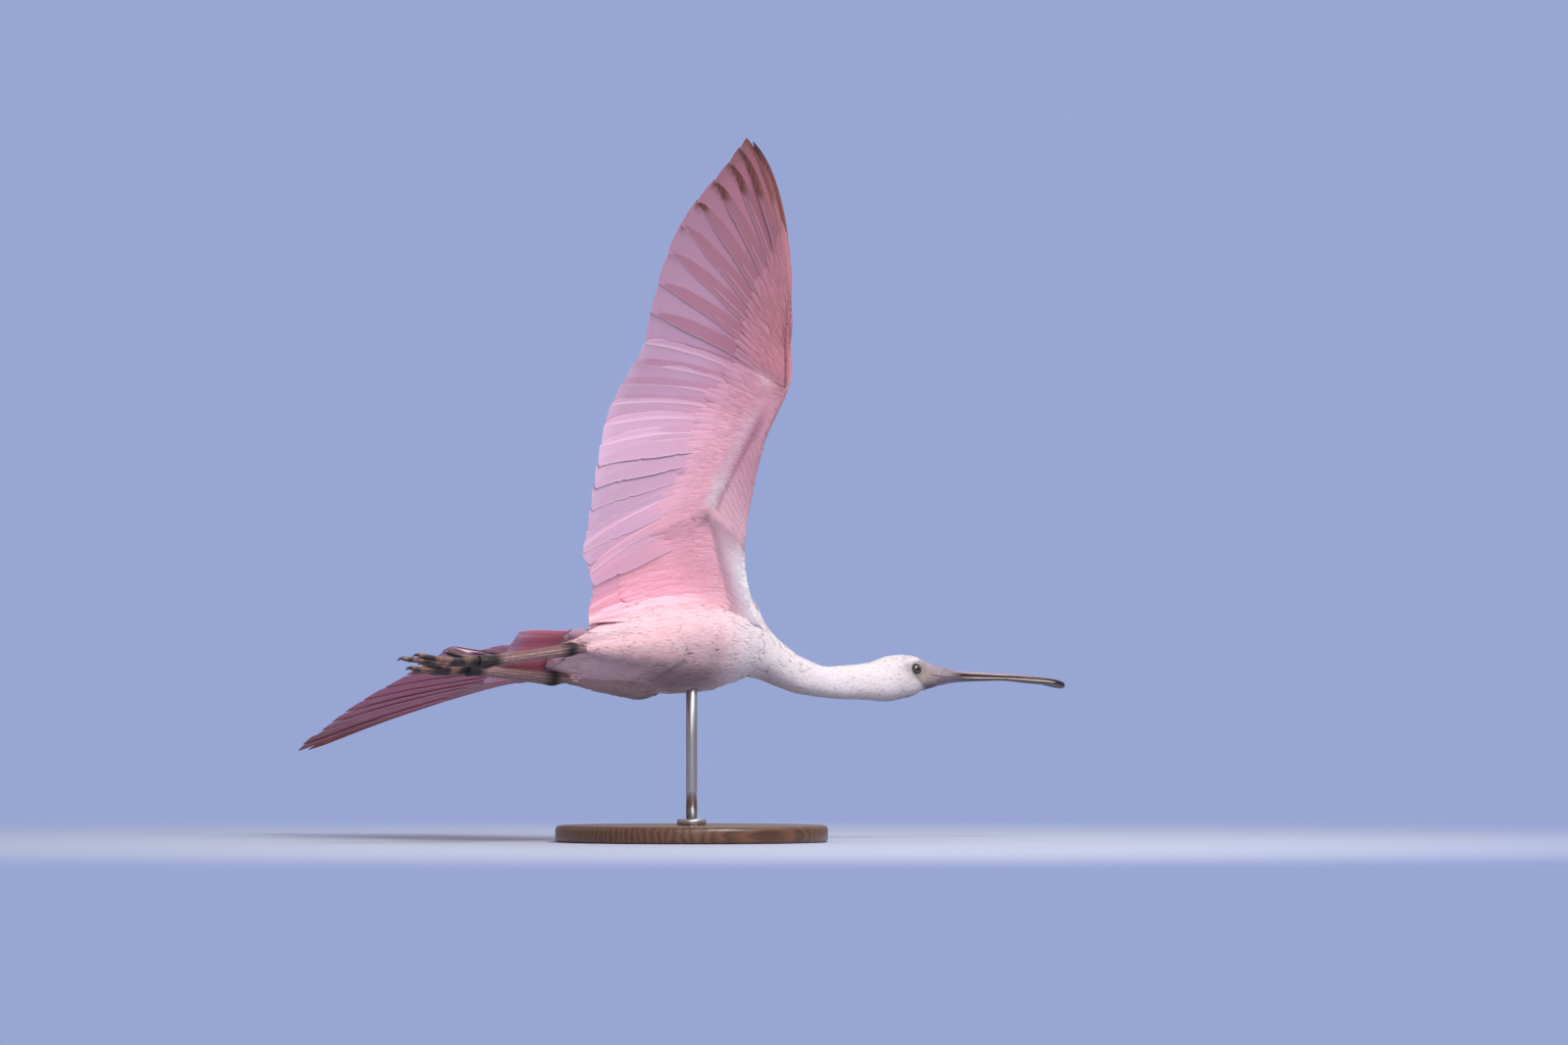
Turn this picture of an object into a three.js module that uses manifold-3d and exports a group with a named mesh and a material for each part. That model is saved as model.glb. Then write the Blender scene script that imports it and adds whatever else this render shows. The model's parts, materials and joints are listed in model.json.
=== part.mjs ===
// A roseate spoonbill in its first-year plumage, life size, banking to its left in flight,
// held above a round wooden base by one steel rod, as a museum shows a flying bird.
// Millimetres, +Z up, +X is the way the bird flies, +Y is its left. The origin is the centre of
// the base's underside. The bird is laid out in its own frame (x forward, y left, z towards the
// back, zero midway between the shoulder joints), and two nested groups bank and pitch it.
import * as THREE from "three";
import { mergeVertices } from "three/addons/utils/BufferGeometryUtils.js";
import Module from "manifold-3d";

const wasm = await Module();
wasm.setup();
const { Manifold, Mesh: SolidMesh } = wasm;
const V = (x, y, z) => new THREE.Vector3(x, y, z);
const deg = Math.PI / 180;

// ---------------------------------------------------------------- driving sizes
const BANK = 39.93 * deg; // left wing down
const PITCH = 3.31 * deg; // nose down
const SHOULDER_AT = [44, 26, 232]; // midway between the shoulders, above the base's centre
const BASE_RADIUS = 150;
const BASE_THICK = 18;
const BASE_EDGE = 4; // rounding of the base's top edge
const ROD_RADIUS = 6;
const ROD_AT = [0, 0]; // where the rod stands on the base
const COLLAR_RADIUS = 16;
const COLLAR_HEIGHT = 7;
const GAP = 0.35; // between neighbouring pieces
const EYE_RADIUS = 7;
const BILL_LENGTH = 158; // beyond the bare face
const SPOON_HALF_WIDTH = 23.5;

// ---------------------------------------------------------------- small tools
// Smooth curve through keyed rows [at, a, b, ...].
function keyed(rows, at) {
  const n = rows.length;
  if (at <= rows[0][0]) return rows[0].slice(1);
  if (at >= rows[n - 1][0]) return rows[n - 1].slice(1);
  let k = 0;
  while (rows[k + 1][0] < at) k++;
  const [p, q] = [rows[k], rows[k + 1]];
  const h = q[0] - p[0];
  const t = (at - p[0]) / h;
  const slope = (i, c) => {
    if (i === 0) return (rows[1][c] - rows[0][c]) / (rows[1][0] - rows[0][0]);
    if (i === n - 1)
      return (rows[i][c] - rows[i - 1][c]) / (rows[i][0] - rows[i - 1][0]);
    return (rows[i + 1][c] - rows[i - 1][c]) / (rows[i + 1][0] - rows[i - 1][0]);
  };
  const out = [];
  for (let c = 1; c < p.length; c++) {
    const [m0, m1] = [slope(k, c) * h, slope(k + 1, c) * h];
    const [t2, t3] = [t * t, t * t * t];
    out.push(
      (2 * t3 - 3 * t2 + 1) * p[c] +
        (t3 - 2 * t2 + t) * m0 +
        (3 * t2 - 2 * t3) * q[c] +
        (t3 - t2) * m1,
    );
  }
  return out;
}

// Closed tube through rings of points, each ring in the same order.
function loft(rings) {
  const n = rings[0].length;
  const pos = [];
  const idx = [];
  rings.forEach((r) => r.forEach((p) => pos.push(p.x, p.y, p.z)));
  for (let i = 0; i + 1 < rings.length; i++)
    for (let j = 0; j < n; j++) {
      const [a, b] = [i * n + j, i * n + ((j + 1) % n)];
      idx.push(a, b, a + n, b, b + n, a + n);
    }
  for (const [r, flip] of [
    [0, true],
    [rings.length - 1, false],
  ]) {
    const c = rings[r]
      .reduce((s, p) => s.add(p), V(0, 0, 0))
      .multiplyScalar(1 / n);
    const k = pos.length / 3;
    pos.push(c.x, c.y, c.z);
    for (let j = 0; j < n; j++) {
      const [a, b] = [r * n + j, r * n + ((j + 1) % n)];
      if (flip) idx.push(k, b, a);
      else idx.push(k, a, b);
    }
  }
  return solid(pos, idx);
}

// Closed shell between two grids of points, top[i][j] and bottom[i][j].
function shell(top, bottom) {
  const [m, n] = [top.length, top[0].length];
  const pos = [];
  const idx = [];
  for (const g of [top, bottom])
    g.forEach((r) => r.forEach((p) => pos.push(p.x, p.y, p.z)));
  const T = (i, j) => i * n + j;
  const B = (i, j) => m * n + i * n + j;
  for (let i = 0; i + 1 < m; i++)
    for (let j = 0; j + 1 < n; j++) {
      idx.push(T(i, j), T(i + 1, j), T(i, j + 1));
      idx.push(T(i + 1, j), T(i + 1, j + 1), T(i, j + 1));
      idx.push(B(i, j), B(i, j + 1), B(i + 1, j));
      idx.push(B(i + 1, j), B(i, j + 1), B(i + 1, j + 1));
    }
  for (let i = 0; i + 1 < m; i++) {
    idx.push(T(i, 0), B(i, 0), T(i + 1, 0), B(i, 0), B(i + 1, 0), T(i + 1, 0));
    const j = n - 1;
    idx.push(T(i, j), T(i + 1, j), B(i, j), B(i, j), T(i + 1, j), B(i + 1, j));
  }
  for (let j = 0; j + 1 < n; j++) {
    idx.push(T(0, j), T(0, j + 1), B(0, j), B(0, j), T(0, j + 1), B(0, j + 1));
    const i = m - 1;
    idx.push(T(i, j), B(i, j), T(i, j + 1), B(i, j), B(i, j + 1), T(i, j + 1));
  }
  return solid(pos, idx);
}

// A solid from positions and triangles, turned right side out.
function solid(pos, idx) {
  const make = (tri) =>
    new Manifold(
      new SolidMesh({
        numProp: 3,
        vertProperties: new Float32Array(pos),
        triVerts: new Uint32Array(tri),
      }),
    );
  const s = make(idx);
  if (s.volume() > 0) return s;
  const back = [];
  for (let i = 0; i < idx.length; i += 3) back.push(idx[i], idx[i + 2], idx[i + 1]);
  return make(back);
}

// A three.js geometry as a solid.
function solidOf(geometry) {
  const g = geometry.clone();
  g.deleteAttribute("normal");
  g.deleteAttribute("uv");
  const m = mergeVertices(g, 1e-4);
  return solid(Array.from(m.attributes.position.array), Array.from(m.index.array));
}

function geometryOf(s) {
  const m = s.getMesh();
  const v = new Float32Array(m.numVert * 3);
  for (let i = 0; i < m.numVert; i++)
    v.set(m.vertProperties.subarray(i * m.numProp, i * m.numProp + 3), i * 3);
  const g = new THREE.BufferGeometry();
  g.setAttribute("position", new THREE.BufferAttribute(v, 3));
  g.setIndex(new THREE.BufferAttribute(new Uint32Array(m.triVerts), 1));
  g.computeVertexNormals();
  return g;
}

// The largest body of a cut solid, so that no crumb is left.
function main(s) {
  return s.decompose().sort((a, b) => b.volume() - a.volume())[0];
}

const meshes = [];
function node(name, s, look) {
  const mesh = new THREE.Mesh(
    geometryOf(s),
    new THREE.MeshStandardMaterial({
      color: new THREE.Color(...look.color),
      roughness: look.roughness,
      metalness: look.metalness ?? 0,
    }),
  );
  mesh.name = name;
  meshes.push(mesh);
  return mesh;
}

const LOOK = {
  plume: { color: [0.86, 0.66, 0.68], roughness: 0.8 },
  white: { color: [0.9, 0.87, 0.85], roughness: 0.8 },
  flight: { color: [0.74, 0.46, 0.53], roughness: 0.7 },
  tail: { color: [0.66, 0.32, 0.36], roughness: 0.7 },
  bill: { color: [0.52, 0.43, 0.4], roughness: 0.45 },
  eye: { color: [0.07, 0.05, 0.04], roughness: 0.1 },
  leg: { color: [0.33, 0.24, 0.2], roughness: 0.55 },
  foot: { color: [0.14, 0.11, 0.1], roughness: 0.55 },
  wood: { color: [0.2, 0.12, 0.07], roughness: 0.45 },
  steel: { color: [0.6, 0.6, 0.6], roughness: 0.3, metalness: 1 },
};

// ---------------------------------------------------------------- frames
const bankGroup = new THREE.Group();
bankGroup.rotation.x = -BANK;
const pitchGroup = new THREE.Group();
pitchGroup.rotation.y = PITCH;
pitchGroup.position.set(...SHOULDER_AT);
pitchGroup.add(bankGroup);
const spoonbill = new THREE.Group();
spoonbill.add(pitchGroup);
spoonbill.updateMatrixWorld(true);
const toWorld = bankGroup.matrixWorld.clone();
const level = new THREE.Matrix4()
  .makeTranslation(...SHOULDER_AT)
  .premultiply(toWorld.clone().invert()); // from the level frame at the shoulders to the bird's own
const fromLevel = (x, y, z) => V(x, y, z).applyMatrix4(level);

// ---------------------------------------------------------------- trunk
// [x, centre z, half width, half height above, half height below]
const TRUNK = [
  [-232, -53, 16, 6, 5],
  [-220, -51.5, 27, 11, 7],
  [-205, -49.5, 36, 16, 11],
  [-185, -46.5, 42, 22, 20],
  [-160, -42, 47, 30, 29],
  [-130, -37, 51, 38, 38],
  [-100, -32, 54, 43, 45],
  [-70, -29, 56, 45, 48],
  [-40, -27, 56, 44, 47],
  [-10, -26, 52, 42, 44],
  [14, -26, 44, 38, 36],
  [30, -27, 37, 35, 30],
];
const TRUNK_SIDES = 18;
function trunkRing(x, grow = 0) {
  const [cz, a, up, down] = keyed(TRUNK, x);
  return Array.from({ length: TRUNK_SIDES }, (_, j) => {
    const t = (2 * Math.PI * j) / TRUNK_SIDES;
    const [c, s] = [Math.cos(t), Math.sin(t)];
    return V(x, (a + grow) * c, cz + ((s > 0 ? up : down) + grow) * s);
  });
}
const TRUNK_FRONT = 30;
function trunkSolid(grow = 0) {
  const xs = [-232, -222, -207, -188, -166, -142, -116, -88, -60, -32, -8, 12, TRUNK_FRONT];
  const rings = xs.map((x) => trunkRing(x, grow));
  if (grow) {
    rings[0].forEach((p) => (p.x -= grow));
    rings.at(-1).forEach((p) => (p.x += grow));
  }
  return loft(rings);
}

// ---------------------------------------------------------------- neck, head and bill
// In the level frame at the shoulders: [x, y, top z, bottom z, half width, heading turn in degrees].
// The neck untwists the bank, so that the head is carried level.
const NECK = [
  [42, -17, 21, -53, 32, 0],
  [50, -17, 12, -54, 30, 0],
  [60, -17.3, 2, -57, 27.5, -1],
  [72, -17.8, -7.7, -61.5, 24.5, -2],
  [85, -18.3, -16.5, -66, 22, -3],
  [98, -18.8, -25, -70, 20, -3.5],
  [111, -19.3, -30.5, -72.5, 19, -4],
  [136, -20.8, -38.8, -75.8, 17.5, -5],
  [161, -22.3, -38.2, -77.8, 17.3, -6],
  [180, -23.6, -37, -78, 17.8, -7],
  [198, -25.5, -34.7, -79, 18.6, -7],
  [210, -27, -30.6, -80, 19.2, -7],
  [222, -28.5, -28.2, -79.2, 19.2, -7],
  [234, -29.9, -27.2, -77, 18.4, -7],
  [246, -31.4, -28.2, -74.6, 17, -7],
  [253, -32.1, -29.6, -71.5, 16, -7],
  [259, -32.9, -32.6, -68.4, 14.9, -7],
  [265, -33.6, -35.8, -66.2, 14, -7],
  [271, -34.3, -38, -64.8, 13.4, -7],
  [277, -35.1, -40.1, -63, 13, -7],
];
const NECK_SIDES = 18;
function neckRing(x, grow = 0, sides = NECK_SIDES) {
  const [y, top, bottom, a, turn] = keyed(NECK, x);
  const [cz, h] = [(top + bottom) / 2, (top - bottom) / 2 + grow];
  const w = a + grow;
  const side = V(-Math.sin(turn * deg), Math.cos(turn * deg), 0);
  return Array.from({ length: sides }, (_, j) => {
    const t = (2 * Math.PI * j) / sides;
    const c = Math.cos(t);
    const s = Math.sin(t);
    return fromLevel(x + side.x * w * c, y + side.y * w * c, cz + h * s);
  });
}
const NECK_END = 186; // where the neck meets the head
function neckSolid() {
  // its first ring is the trunk's front one, moved on by the gap, with the same number of points
  const first = trunkRing(TRUNK_FRONT).map((p) => V(p.x + GAP, p.y, p.z));
  const xs = [50, 64, 80, 96, 114, 134, 156, 172, NECK_END - GAP];
  // points run round from the left side; the bank turns the trunk's ring against the neck's
  const rings = xs.map((x) => neckRing(x, 0, TRUNK_SIDES));
  const turn = Math.round((BANK / (2 * Math.PI)) * TRUNK_SIDES);
  const shifted = rings.map((r) => r.map((_, j) => r[(j - turn + TRUNK_SIDES) % TRUNK_SIDES]));
  const best = [0, 1, -1, 2, -2, 3, -3]
    .map((k) => rings.map((r) => r.map((_, j) => r[(j + k + TRUNK_SIDES) % TRUNK_SIDES])))
    .concat([shifted])
    .sort(
      (a, b) =>
        a[0].reduce((s, p, j) => s + p.distanceTo(first[j]), 0) -
        b[0].reduce((s, p, j) => s + p.distanceTo(first[j]), 0),
    )[0];
  return loft([first, ...best]);
}
const headFrame = (x, sideways, z) => {
  const [y, , , , turn] = keyed(NECK, x);
  return fromLevel(x - Math.sin(turn * deg) * sideways, y + Math.cos(turn * deg) * sideways, z);
};
const EYE_X = 245.5;
const EYE_Z = -43.5;
const EYE_OUT = 12.2;
function headSolid() {
  const xs = [NECK_END, 198, 209, 220, 231, 242, 250, 257, 264, 277];
  let head = loft(xs.map((x) => neckRing(x, 0, 18)));
  for (const s of [-1, 1]) head = head.subtract(eyeSolid(s, EYE_RADIUS + GAP));
  return head;
}
function eyeSolid(sign, radius = EYE_RADIUS) {
  const at = headFrame(EYE_X, sign * EYE_OUT, EYE_Z);
  return solidOf(new THREE.SphereGeometry(radius, 12, 8)).translate([at.x, at.y, at.z]);
}

// The bill from the face forwards: [share of its length, half width, top z, meeting z, bottom z]
const BILL = [
  [0, 13.2, -40.6, -51.6, -62.4],
  [0.06, 11.6, -42.2, -51.7, -60.8],
  [0.14, 10.2, -45.6, -51.9, -58.6],
  [0.24, 9.2, -47.3, -52.4, -57.8],
  [0.36, 8.8, -48.3, -53.0, -57.4],
  [0.48, 9.4, -49.6, -53.4, -57.0],
  [0.58, 11.2, -50.2, -53.9, -57.3],
  [0.67, 14.4, -51.2, -54.8, -58.9],
  [0.76, 18.8, -52.2, -55.8, -60.3],
  [0.84, 22.4, -53.6, -57.0, -61.3],
  [0.9, SPOON_HALF_WIDTH, -55.0, -58.4, -61.9],
  [0.95, 21.6, -57.0, -60.6, -63.9],
  [0.985, 15.0, -58.8, -62.6, -65.4],
  [1, 7.0, -60.2, -64.0, -66.2],
];
const BILL_START = 277 + GAP;
function billHalf(upper) {
  const [, , , , turn] = keyed(NECK, BILL_START);
  const [sy] = keyed(NECK, BILL_START);
  const across = [-1, -0.84, -0.4, 0.4, 0.84, 1];
  const top = [];
  const bottom = [];
  const steps = [0, 0.07, 0.16, 0.28, 0.42, 0.54, 0.64, 0.73, 0.82, 0.89, 0.95, 0.98, 1];
  for (const t of steps) {
    const [w, zt, zm, zb] = keyed(BILL, t);
    const d = t * BILL_LENGTH;
    const rowT = [];
    const rowB = [];
    for (const u of across) {
      const bow = Math.sqrt(Math.max(0, 1 - u * u * 0.96)) ** (t > 0.6 ? 0.6 : 1);
      const at = (z) =>
        fromLevel(
          BILL_START + Math.cos(turn * deg) * d - Math.sin(turn * deg) * u * w,
          sy + Math.sin(turn * deg) * d + Math.cos(turn * deg) * u * w,
          z,
        );
      const [outer, seam] = upper ? [zt, zm + GAP / 2] : [zb, zm - GAP / 2];
      const edge = seam + (outer > seam ? 0.5 : -0.5);
      const skin = edge + (outer - edge) * bow;
      rowT.push(at(upper ? skin : seam));
      rowB.push(at(upper ? seam : skin));
    }
    top.push(rowT);
    bottom.push(rowB);
  }
  return shell(top, bottom);
}

// ---------------------------------------------------------------- wings
// Outward y on both sides. A wing's feathers are numbered from the innermost tertial (0), over the
// secondaries (4 at the elbow to 17 at the wrist), to the primaries (18 to 27, the outermost).
const FEATHERS = 28;
const WING = {
  right: {
    shoulder: V(0, 44, 0),
    elbow: V(-66, 137, 45),
    wrist: V(13, 245, 140),
    finger: V(-14, 346, 193),
    droop: 0,
  },
  left: {
    shoulder: V(0, 44, 0),
    elbow: V(-65, 136, 49),
    wrist: V(16, 238, 145),
    finger: V(-12, 337, 201),
    droop: 1,
  },
};
// [feather, vector from quill to tip]
const TIPS = [
  [-1, -199, -2, -32],
  [0, -171, -42, -21],
  [4, -134, -78, -36],
  [6, -158, -75, -36],
  [8, -166, -70, -33],
  [11, -185, -37, -9],
  [14, -189, -14, 22],
  [17, -185, 28, 36],
  [18, -193, 53, 43],
  [21, -192, 132, 60],
  [24, -160, 184, 61],
  [26, -148, 196, 55],
  [27, -134, 184, 50],
];
// [feather, how far its tip hangs lower on the drooping wing]
const DROOP = [
  [8, 0],
  [9, -2],
  [11, -9],
  [14, -16],
  [17, -19],
  [19, -22],
  [21.5, -19],
  [24, -4],
  [25, 0],
];
// [feather, leading edge x, y, z measured from the quill's root]
const EDGE = [
  [-1, 50, -6, -4],
  [0, 38, -8, -7],
  [1, 39, -10, -7.5],
  [2, 43, -13, -8.5],
  [3, 52, -19, -10.5],
  [4, 61, -26, -13],
  [5, 55, -28, -15],
  [6, 48, -30, -17.5],
  [8, 35, -32, -21],
  [10, 24.5, -24, -15],
  [12, 15, -15, -10],
  [14, 8, -6, -7],
  [17, 8, 4, 1],
  [18, 7, 13, 8],
  [21, 1, 15, 4],
  [24, 0, 12, 3],
  [27, 1, 2.5, 1],
];
// [feather, half thickness of the arm, below, camber, backward bend, notch beside its tip, half thickness of the vane]
const BUILD = [
  [-1, 16, 20, 7, 3, 0.015, 1.6],
  [0, 14, 17, 8, 4, 0.02, 1.5],
  [4, 10, 11, 9, 8, 0.025, 1.2],
  [11, 8.5, 8.5, 9, 9, 0.025, 1.1],
  [17, 6.5, 6.5, 8, 6, 0.02, 1.0],
  [21, 4.4, 4.4, 9, 4, 0.02, 1.0],
  [24, 3.2, 3.2, 11, 8, 0.03, 0.9],
  [27, 2.2, 2.2, 13, 15, 0.04, 0.9],
];
function quill(side, w) {
  const { shoulder, elbow, wrist, finger } = WING[side];
  const on = (a, b, t) => a.clone().lerp(b, t);
  if (w < 0) return on(V(0, 38, -2), shoulder.clone().lerp(elbow, 0.2), w + 1);
  if (w < 4) return on(shoulder, elbow, 0.2 + 0.2 * w);
  if (w < 17.5) return on(elbow, wrist, (w - 4) / 13.5);
  return on(wrist, finger, Math.min(1, (w - 17.5) / 9.2));
}
// A point of the wing's middle surface: w across the feathers, r from the leading edge (0) over the
// quill (1) to the tip (2), share of the feather's length that is present.
function wingPoint(side, w, r, share = 1) {
  const root = quill(side, w);
  const tip = keyed(TIPS, w);
  const vec = V(tip[0], tip[1], tip[2] + WING[side].droop * keyed(DROOP, w)[0]);
  const edge = V(...keyed(EDGE, w));
  const [, , camber, bend] = keyed(BUILD, w);
  const chord = vec.length() + edge.length();
  if (r <= 1) {
    const p = root.clone().addScaledVector(edge, 1 - r);
    const c = (edge.length() * r) / chord;
    return p.add(V(0, 0, camber * 4 * c * (1 - c)));
  }
  const f = (r - 1) * share;
  const c = (edge.length() + vec.length() * f) / chord;
  const across = V(0, 0, 1).cross(vec).normalize(); // in the wing's plane, away from the body or forwards
  if (across.y < 0) across.negate();
  return root
    .clone()
    .addScaledVector(vec, f)
    .addScaledVector(across, bend * 4 * f * (1 - f))
    .add(V(0, 0, camber * 4 * c * (1 - c)));
}
const ARM_ROWS = [0, 0.08, 0.3, 0.65, 1.0, 1.13];
const VANE_ROWS = [1.13, 1.36, 1.62, 1.85, 2];
function wingThick(w, r) {
  const [up, down, , , , vane] = keyed(BUILD, w);
  const p = keyed(
    [
      [0, 0.1],
      [0.08, 0.55],
      [0.3, 1],
      [0.65, 0.95],
      [1, 0.7],
      [1.13, 0.46],
      [1.3, 0.2],
      [1.5, 0.06],
      [1.7, 0],
      [2, 0],
    ],
    r,
  )[0];
  const thin = vane * (r > 1.5 ? 1 - 0.45 * (r - 1.5) * 2 : 1);
  return [p * up + thin, p * down + thin];
}
function wingSolid(side, from, to, rows, step, lead = 0, trail = 0) {
  const sign = side === "right" ? -1 : 1;
  const columns = [];
  for (let w = Math.ceil(from / step) * step; w <= to + 1e-9; w += step) columns.push(w);
  if (from < 0 && step > 0.5) columns.splice(1, 0, from + 0.5);
  if (columns[0] > from + 0.05) columns.unshift(from);
  if (columns.at(-1) < to - 0.05) columns.push(to);
  const point = (w, r) => {
    const notch = keyed(BUILD, w)[4];
    const between = Math.abs(w - Math.round(w)) * 2; // 1 midway between two feathers
    return wingPoint(side, w, r, 1 - notch * between * Math.max(0, (r - 1.3) / 0.7));
  };
  const top = [];
  const bottom = [];
  for (const w of columns) {
    const [rt, rb] = [[], []];
    rows.forEach((r0, j) => {
      const r = r0 + (j === 0 ? lead : 0) - (j === rows.length - 1 ? trail : 0);
      const p = point(w, r);
      const e = 0.02;
      const du = wingPoint(side, Math.min(w + 0.5, 27), r).sub(wingPoint(side, Math.max(w - 0.5, -1), r));
      const dr = wingPoint(side, w, Math.min(r + e, 2)).sub(wingPoint(side, w, Math.max(r - e, 0)));
      const n = dr.cross(du).normalize();
      if (n.z < 0) n.negate();
      const [up, down] = wingThick(w, r0);
      const [a, b] = [p.clone().addScaledVector(n, up), p.clone().addScaledVector(n, -down)];
      for (const q of [a, b]) q.y *= sign;
      rt.push(a);
      rb.push(b);
    });
    top.push(rt);
    bottom.push(rb);
  }
  return shell(top, bottom);
}

// ---------------------------------------------------------------- tail
const TAIL_FEATHERS = 12;
const TAIL = { rootX: -206, rootZ: -43.5, rootHalf: 35, tipX: -298, tipZ: -58.5, tipHalf: 49, thick: 1.3 };
function tailPoint(u, r, share = 1) {
  // u from -1 (right) to 1 (left), r from the root (0) to the tip (1)
  const f = r * share;
  const spread = TAIL.rootHalf + (TAIL.tipHalf - TAIL.rootHalf) * f;
  const back = (TAIL.tipX - TAIL.rootX) * f * (1 + 0.06 * u * u);
  const dome = 5 * (1 - u * u) * (0.4 + 0.6 * f); // the middle feathers lie on top
  return V(TAIL.rootX + back, u * spread, TAIL.rootZ + (TAIL.tipZ - TAIL.rootZ) * f + dome - 2);
}
function tailSolid() {
  const rows = [-0.1, 0.25, 0.6, 0.85, 1];
  const top = [];
  const bottom = [];
  for (let k = 0; k <= TAIL_FEATHERS * 2; k++) {
    const u = k / TAIL_FEATHERS - 1;
    const notch = k % 2 === 0 && k > 0 && k < TAIL_FEATHERS * 2 ? 0.04 : k % 2 ? 0 : 0.05;
    const [rt, rb] = [[], []];
    for (const r of rows) {
      const p = tailPoint(u, r, r > 0.8 ? 1 - notch : 1);
      const t = TAIL.thick * (1.8 - r) + (r < 0.2 ? 2 : 0);
      rt.push(V(p.x, p.y, p.z + t));
      rb.push(V(p.x, p.y, p.z - t));
    }
    top.push(rt);
    bottom.push(rb);
  }
  return shell(top, bottom);
}

// ---------------------------------------------------------------- legs
// Outward y on both sides.
const LEG = {
  right: { heel: V(-224, 26, -64), foot: V(-347, 20, -86), toes: V(-447, 14, -83) },
  left: { heel: V(-219, 26, -63), foot: V(-335, 16, -66), toes: V(-418, 13, -72) },
};
const THIGH = { hip: V(-82, 27, -54), hipRadius: 25 };
function tube(path, radii, sides = 10, flat = 1) {
  const rings = path.map((p, i) => {
    const t = path[Math.min(i + 1, path.length - 1)].clone().sub(path[Math.max(i - 1, 0)]).normalize();
    const side = V(0, 1, 0).sub(t.clone().multiplyScalar(t.y)).normalize();
    const up = t.clone().cross(side);
    return Array.from({ length: sides }, (_, j) => {
      const a = (2 * Math.PI * j) / sides;
      return p
        .clone()
        .addScaledVector(side, radii[i] * Math.cos(a))
        .addScaledVector(up, radii[i] * flat * Math.sin(a));
    });
  });
  return loft(rings);
}
function mirrored(s, side) {
  return side === "right" ? s.mirror([0, 1, 0]) : s;
}
function thighSolid(side) {
  const { heel } = LEG[side];
  const { hip, hipRadius } = THIGH;
  const end = hip.clone().lerp(heel, 0.9);
  const path = [0, 0.16, 0.4, 0.7, 0.9, 1.02].map((t) => hip.clone().lerp(end, t));
  const s = tube(path, [hipRadius * 0.8, hipRadius, hipRadius * 0.86, hipRadius * 0.6, 9.4, 7.2], 12);
  return beyond(s, end, hip.clone().sub(heel), GAP / 2);
}
// The part of a solid beyond a point along a direction.
function beyond(s, at, dir, gap) {
  const d = dir.clone().normalize();
  return s.trimByPlane([d.x, d.y, d.z], d.dot(at) + gap);
}
function shankSolid(side) {
  const { heel, foot, toes } = LEG[side];
  const hip = THIGH.hip;
  const start = hip.clone().lerp(heel, 0.88);
  const past = foot.clone().add(foot.clone().sub(heel).setLength(4));
  const path = [start, heel.clone().lerp(hip, 0.03), heel, heel.clone().lerp(foot, 0.07), heel.clone().lerp(foot, 0.2), heel.clone().lerp(foot, 0.55), heel.clone().lerp(foot, 0.9), past];
  let s = tube(path, [5.4, 7.1, 8, 8.1, 7.3, 6.9, 6.9, 7.4], 10, 0.87);
  s = beyond(s, foot, heel.clone().sub(toes), GAP / 2);
  return beyond(s, hip.clone().lerp(heel, 0.9), heel.clone().sub(hip), GAP / 2);
}
function footSolid(side) {
  const { foot, toes } = LEG[side];
  const mid = toes.clone().sub(foot);
  const len = mid.length();
  const along = mid.clone().normalize();
  const out = V(0, 1, 0);
  const up = V(0, 0, 1);
  // [sideways fan, upward fan, share of the middle toe's length, radius]
  const spread = side === "right" ? 0.12 : 0.06;
  const TOES = [
    [0, 0, 1, 4.5],
    [spread, 0.01, 0.84, 4.1],
    [-0.12, 0.04, 0.82, 4.1],
  ];
  let s = tube([foot.clone().addScaledVector(along, -5), foot.clone().addScaledVector(along, 8), foot.clone().addScaledVector(along, 17)], [7.4, 8.6, 6.2], 10, 0.9);
  for (const [fan, rise, share, radius] of TOES) {
    const dir = along.clone().addScaledVector(out, fan).addScaledVector(up, rise).normalize();
    const start = foot.clone().addScaledVector(along, 7).addScaledVector(out, fan * 22);
    const L = len * share - 7;
    const at = (t) => start.clone().addScaledVector(dir, L * t).addScaledVector(up, -3 * Math.sin(Math.PI * t));
    const claw = at(1).addScaledVector(dir, 9).addScaledVector(up, -3.5);
    s = s.add(tube([at(0), at(0.25), at(0.5), at(0.75), at(0.95), at(1), claw], [radius, radius, radius * 0.84, radius * 0.86, radius * 0.66, 1.9, 0.6], 6, 0.85));
  }
  const web = [foot.clone().addScaledVector(along, 10).addScaledVector(out, 6), foot.clone().addScaledVector(along, 10).addScaledVector(out, -6)];
  const tips = [spread, -0.12].map((f) => foot.clone().addScaledVector(along, 34).addScaledVector(out, f * 44));
  const lift = (p, dz) => p.clone().add(V(0, 0, dz));
  s = s.add(
    shell(
      [
        [lift(web[0], 1.2), lift(tips[0], 1.2)],
        [lift(web[1], 1.2), lift(tips[1], 1.2)],
      ],
      [
        [lift(web[0], -1.2), lift(tips[0], -1.2)],
        [lift(web[1], -1.2), lift(tips[1], -1.2)],
      ],
    ),
  );
  // the hind toe lies back along the upper side
  const hs = foot.clone().addScaledVector(along, 5).add(V(0, -2, 3));
  const hd = along.clone().multiplyScalar(0.96).addScaledVector(up, 0.28).normalize();
  const h = (d, dz = 0) => hs.clone().addScaledVector(hd, d).add(V(0, 0, dz));
  s = s.add(tube([h(0), h(11), h(23), h(33), h(36), h(45, -2.5)], [4.2, 4.2, 3.8, 3, 2, 0.6], 6, 0.9));
  return beyond(s, foot, toes.clone().sub(LEG[side].heel), GAP / 2);
}

// ---------------------------------------------------------------- assembly
const trunk = trunkSolid();
const trunkGrown = trunkSolid(GAP);
const neck = neckSolid();
const tailCut = tailSolid();
const parts = {};

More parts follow.
